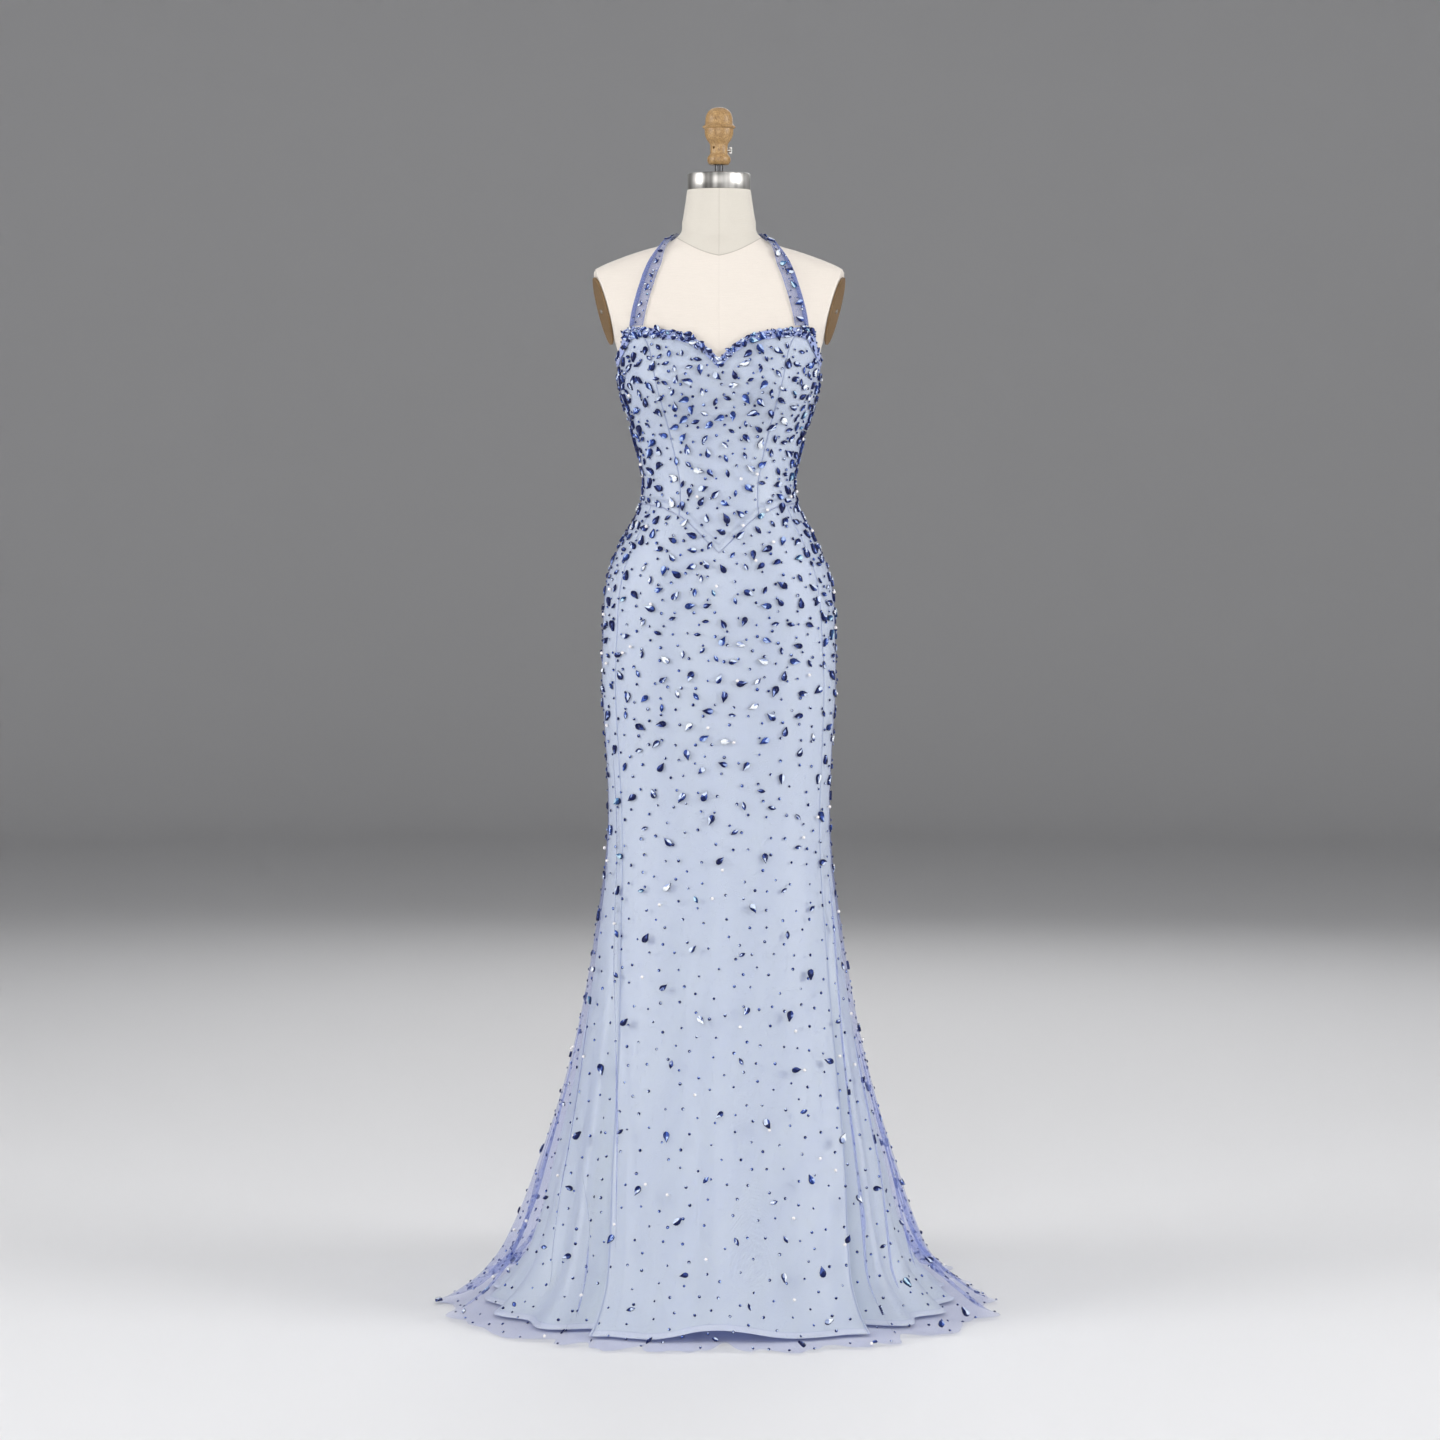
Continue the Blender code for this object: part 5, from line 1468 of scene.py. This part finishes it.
def strewn(places, wide, taken=None, taken_wide=None, apart=0.0):
    """Numbers of the places that can be kept with their least distances, in turn."""
    kept = np.zeros(len(places), bool)
    spots = np.zeros((len(places), 3))
    reach = np.zeros(len(places))
    count = 0
    if taken is not None:
        count = len(taken)
        spots = np.concatenate((taken, spots))
        reach = np.concatenate((taken_wide, reach))
    for number, (place, gap) in enumerate(zip(places, wide)):
        away = ((spots[:count] - place) ** 2).sum(1)
        if count == 0 or (away > np.maximum(np.minimum(gap, reach[:count]), apart) ** 2).all():
            kept[number] = True
            spots[count] = place
            reach[count] = gap
            count += 1
    return kept


def on_net(columns, rows, lift):
    places = tulle_face(columns, rows)
    across, out = sides_of(tulle_face, columns, rows)
    return places + out * lift, across, out


def turned_ways(across, out):
    """A random direction in the cloth for each stone."""
    along_way = np.cross(out, across)
    angle = random.random(len(across))[:, None] * 2 * pi
    return across * np.cos(angle) + along_way * np.sin(angle)


CELL = 0.25
cell_columns, cell_rows = np.meshgrid(np.arange(-CENTRE_BACK, CENTRE_BACK, CELL) + CELL / 2,
                                      np.arange(1.25, HEM_ROW - 0.2, CELL) + CELL / 2)
cell_columns, cell_rows = cell_columns.ravel(), cell_rows.ravel()
cell_places = tulle_face(cell_columns, cell_rows)
cell_wide = (tulle_face(cell_columns + CELL / 2, cell_rows)
             - tulle_face(cell_columns - CELL / 2, cell_rows))
cell_tall = (tulle_face(cell_columns, cell_rows + CELL / 2)
             - tulle_face(cell_columns, cell_rows - CELL / 2))
cell_area = np.linalg.norm(np.cross(cell_wide, cell_tall), axis=1)
cell_angles = column_angles(cell_columns, cell_places[:, 2])


def tries_on_net(kind, count, lift):
    """Random places on the net, most of them where its stones lie closest."""
    weight = cell_area / spacing_at(cell_places, cell_angles, kind) ** 2
    chosen = random.choice(len(weight), count, p=weight / weight.sum())
    columns = cell_columns[chosen] + random.uniform(-CELL / 2, CELL / 2, count)
    rows = cell_rows[chosen] + random.uniform(-CELL / 2, CELL / 2, count)
    places, across, out = on_net(columns, rows, lift)
    wide = spacing_at(places, column_angles(columns, places[:, 2]), kind)
    return places, across, out, wide * random.uniform(*SPACING_SPREAD, count)


places, across, out, large_gap = tries_on_net(0, LARGE_TRIES, 0.0007)
kept = strewn(places, large_gap, apart=LARGE_APART)
large_places = places[kept]
ways = turned_ways(across[kept], out[kept])
sizes = random.uniform(*LARGE_SIZES, kept.sum())
is_pear = random.random(kept.sum()) < PEAR_SHARE
for name, cut, which in (("stones_pear", PEAR, is_pear), ("stones_navette", NAVETTE, ~is_pear)):
    stones(name, cut, large_places[which], out[kept][which], ways[which], sizes[which])

places, across, out, small_gap = tries_on_net(1, SMALL_TRIES, 0.0006)
kept = strewn(places, small_gap, large_places, np.full(len(large_places), LARGE_REACH))
ways = turned_ways(across[kept], out[kept])
small_places, small_out = places[kept], out[kept]
is_pearl = random.random(kept.sum()) < PEARL_SHARE
sizes = random.uniform(*SMALL_SIZES, kept.sum())
stones("stones_round", ROUND, small_places[~is_pearl], small_out[~is_pearl],
       ways[~is_pearl], sizes[~is_pearl], blue=ROUND_BLUE)

PEARL_SIZE = 0.0050
bpy.ops.mesh.primitive_uv_sphere_add(segments=12, ring_count=8, radius=0.5,
                                     location=(0.0, 0.0, 0.45))
bead = bpy.context.object
bpy.ops.object.transform_apply(location=True, rotation=True, scale=True)
bead_faces = [tuple(face.vertices) for face in bead.data.polygons]
bead_cut = (np.array([vertex.co for vertex in bead.data.vertices]), bead_faces,
            np.zeros(len(bead_faces), int), np.zeros(len(bead_faces)))
bpy.data.objects.remove(bead)
nacre = Finish("white_pearl", Roughness=0.22, Coat_Weight=0.7, Coat_Roughness=0.08,
               Sheen_Weight=0.4, Sheen_Tint=(0.9, 0.85, 1.0, 1.0))
nacre.feed("Base Color", nacre.mix(nacre.noise(nacre.place(), 240.0, 2.0),
                                   (0.78, 0.76, 0.76), (0.92, 0.88, 0.86)))
pearls = stones("stones_pearl", bead_cut, small_places[is_pearl], small_out[is_pearl],
                ways[is_pearl], np.full(is_pearl.sum(), PEARL_SIZE), finish=nacre)
pearls.select_set(True)
bpy.context.view_layer.objects.active = pearls
bpy.ops.object.shade_smooth()
bpy.ops.object.select_all(action="DESELECT")

# ==== Neckline band =======================================================================
# A narrow band of doubled net along the top edge, from side to side, hidden under
# crowded stones of every size.

TINY_SIZES = (0.0024, 0.0038)
BAND_COLUMNS = 11
BAND_OUT = 0.0016
BAND_CLOTH = 0.0008
BAND_TRIES = 9000
BAND_GAPS = (0.0076, 0.0046)     # least distance between its large and its small stones
BAND_THINS = (6.0, 1.4, 1.1)     # column where it thins, over how many, by how much
BAND_TILT = 0.22
BAND_SMALL_REACH = 0.0022

numbers = np.linspace(-BAND_COLUMNS, BAND_COLUMNS, 221)
at, down = np.meshgrid(numbers, np.linspace(0, 1, 5))
across, out = sides_of(tulle_face, at, down)
points = tulle_face(at, down) + out * BAND_OUT
band = cloth_sheet("neckline_band_net", points, lengths(points, 1), lengths(points, 0))
applied(band, "SOLIDIFY", thickness=BAND_CLOTH, offset=-1.0)
band_net = Finish("doubled_net", Roughness=0.7, Sheen_Weight=0.5)
band_net.feed("Base Color", band_net.mix(band_net.noise(band_net.place(), 500.0),
                                         (0.17, 0.22, 0.52), (0.42, 0.49, 0.78)))
dressed(band, band_net, "crystal", stands_for=("neckline_band",))
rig.sheet(band, flat=(0.47, BAND_WIDTH), held="stretched", rests_on=["net_front"])

columns = random.uniform(-BAND_COLUMNS, BAND_COLUMNS, BAND_TRIES)
rows = random.triangular(-0.05, 0.30, 1.0, BAND_TRIES)
places, across, out = on_net(columns, rows, BAND_OUT + 0.0002)
thin = np.clip((abs(columns) - BAND_THINS[0]) / BAND_THINS[1], 0, 1) * BAND_THINS[2] + 1
kept = strewn(places, thin * BAND_GAPS[0])
ways = turned_ways(across[kept], out[kept])
tilt = random.normal(0, BAND_TILT, (kept.sum(), 1))
leaning = unit(out[kept] + ways * tilt)
ways = unit(np.cross(np.cross(leaning, ways), leaning))
is_pear = random.random(kept.sum()) < 0.5
sizes = random.uniform(0.0084, 0.0120, kept.sum())
band_large = places[kept]
for name, cut, which in (("band_pear", PEAR, is_pear), ("band_navette", NAVETTE, ~is_pear)):
    stones(name, cut, band_large[which], leaning[which], ways[which], sizes[which])
kept = strewn(places, thin * BAND_GAPS[1], band_large,
              np.full(len(band_large), BAND_SMALL_REACH), apart=BAND_SMALL_REACH)
ways = turned_ways(across[kept], out[kept])
stones("band_round", ROUND, places[kept] + out[kept] * 0.0006, out[kept], ways,
       random.uniform(*TINY_SIZES, kept.sum()))

# ==== Stones on the straps ================================================================
# Pears and navettes run up the middle of each strap with small rhinestones between.

STRAP_LARGE = 12
STRAP_SMALL = 46
for side, name in ((1, "left"), (-1, "right")):
    flip = np.array((side, 1.0, 1.0))
    run = (np.arange(STRAP_LARGE) + random.uniform(0.25, 0.75, STRAP_LARGE)) / STRAP_LARGE
    share = random.uniform(-0.45, 0.45, STRAP_LARGE)
    for label, cut, places_on, shares_on, size in (
            ("large", PEAR if side > 0 else NAVETTE, run, share, (0.0085, 0.0115)),
            ("small", ROUND, random.random(STRAP_SMALL),
             random.uniform(-0.85, 0.85, STRAP_SMALL), TINY_SIZES)):
        across, out = strap_out(places_on, shares_on)
        spots = (strap_face(places_on, shares_on) + out * 0.0018) * flip
        out = out * flip
        ways = turned_ways(across * flip, out)
        stones("strap_" + label + "_" + name, cut, spots, out, ways,
               random.uniform(*size, len(spots)))

# ==== Size and finish =====================================================================
# The visual model's box is written beside the frame's, to compare the two.

VISUAL_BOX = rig.bounds()
with open("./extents.json", "w") as sizes_file:
    json.dump({"cad": [list(map(float, point)) for point in CAD_BOX],
               "visual": [list(map(float, point)) for point in VISUAL_BOX]}, sizes_file)
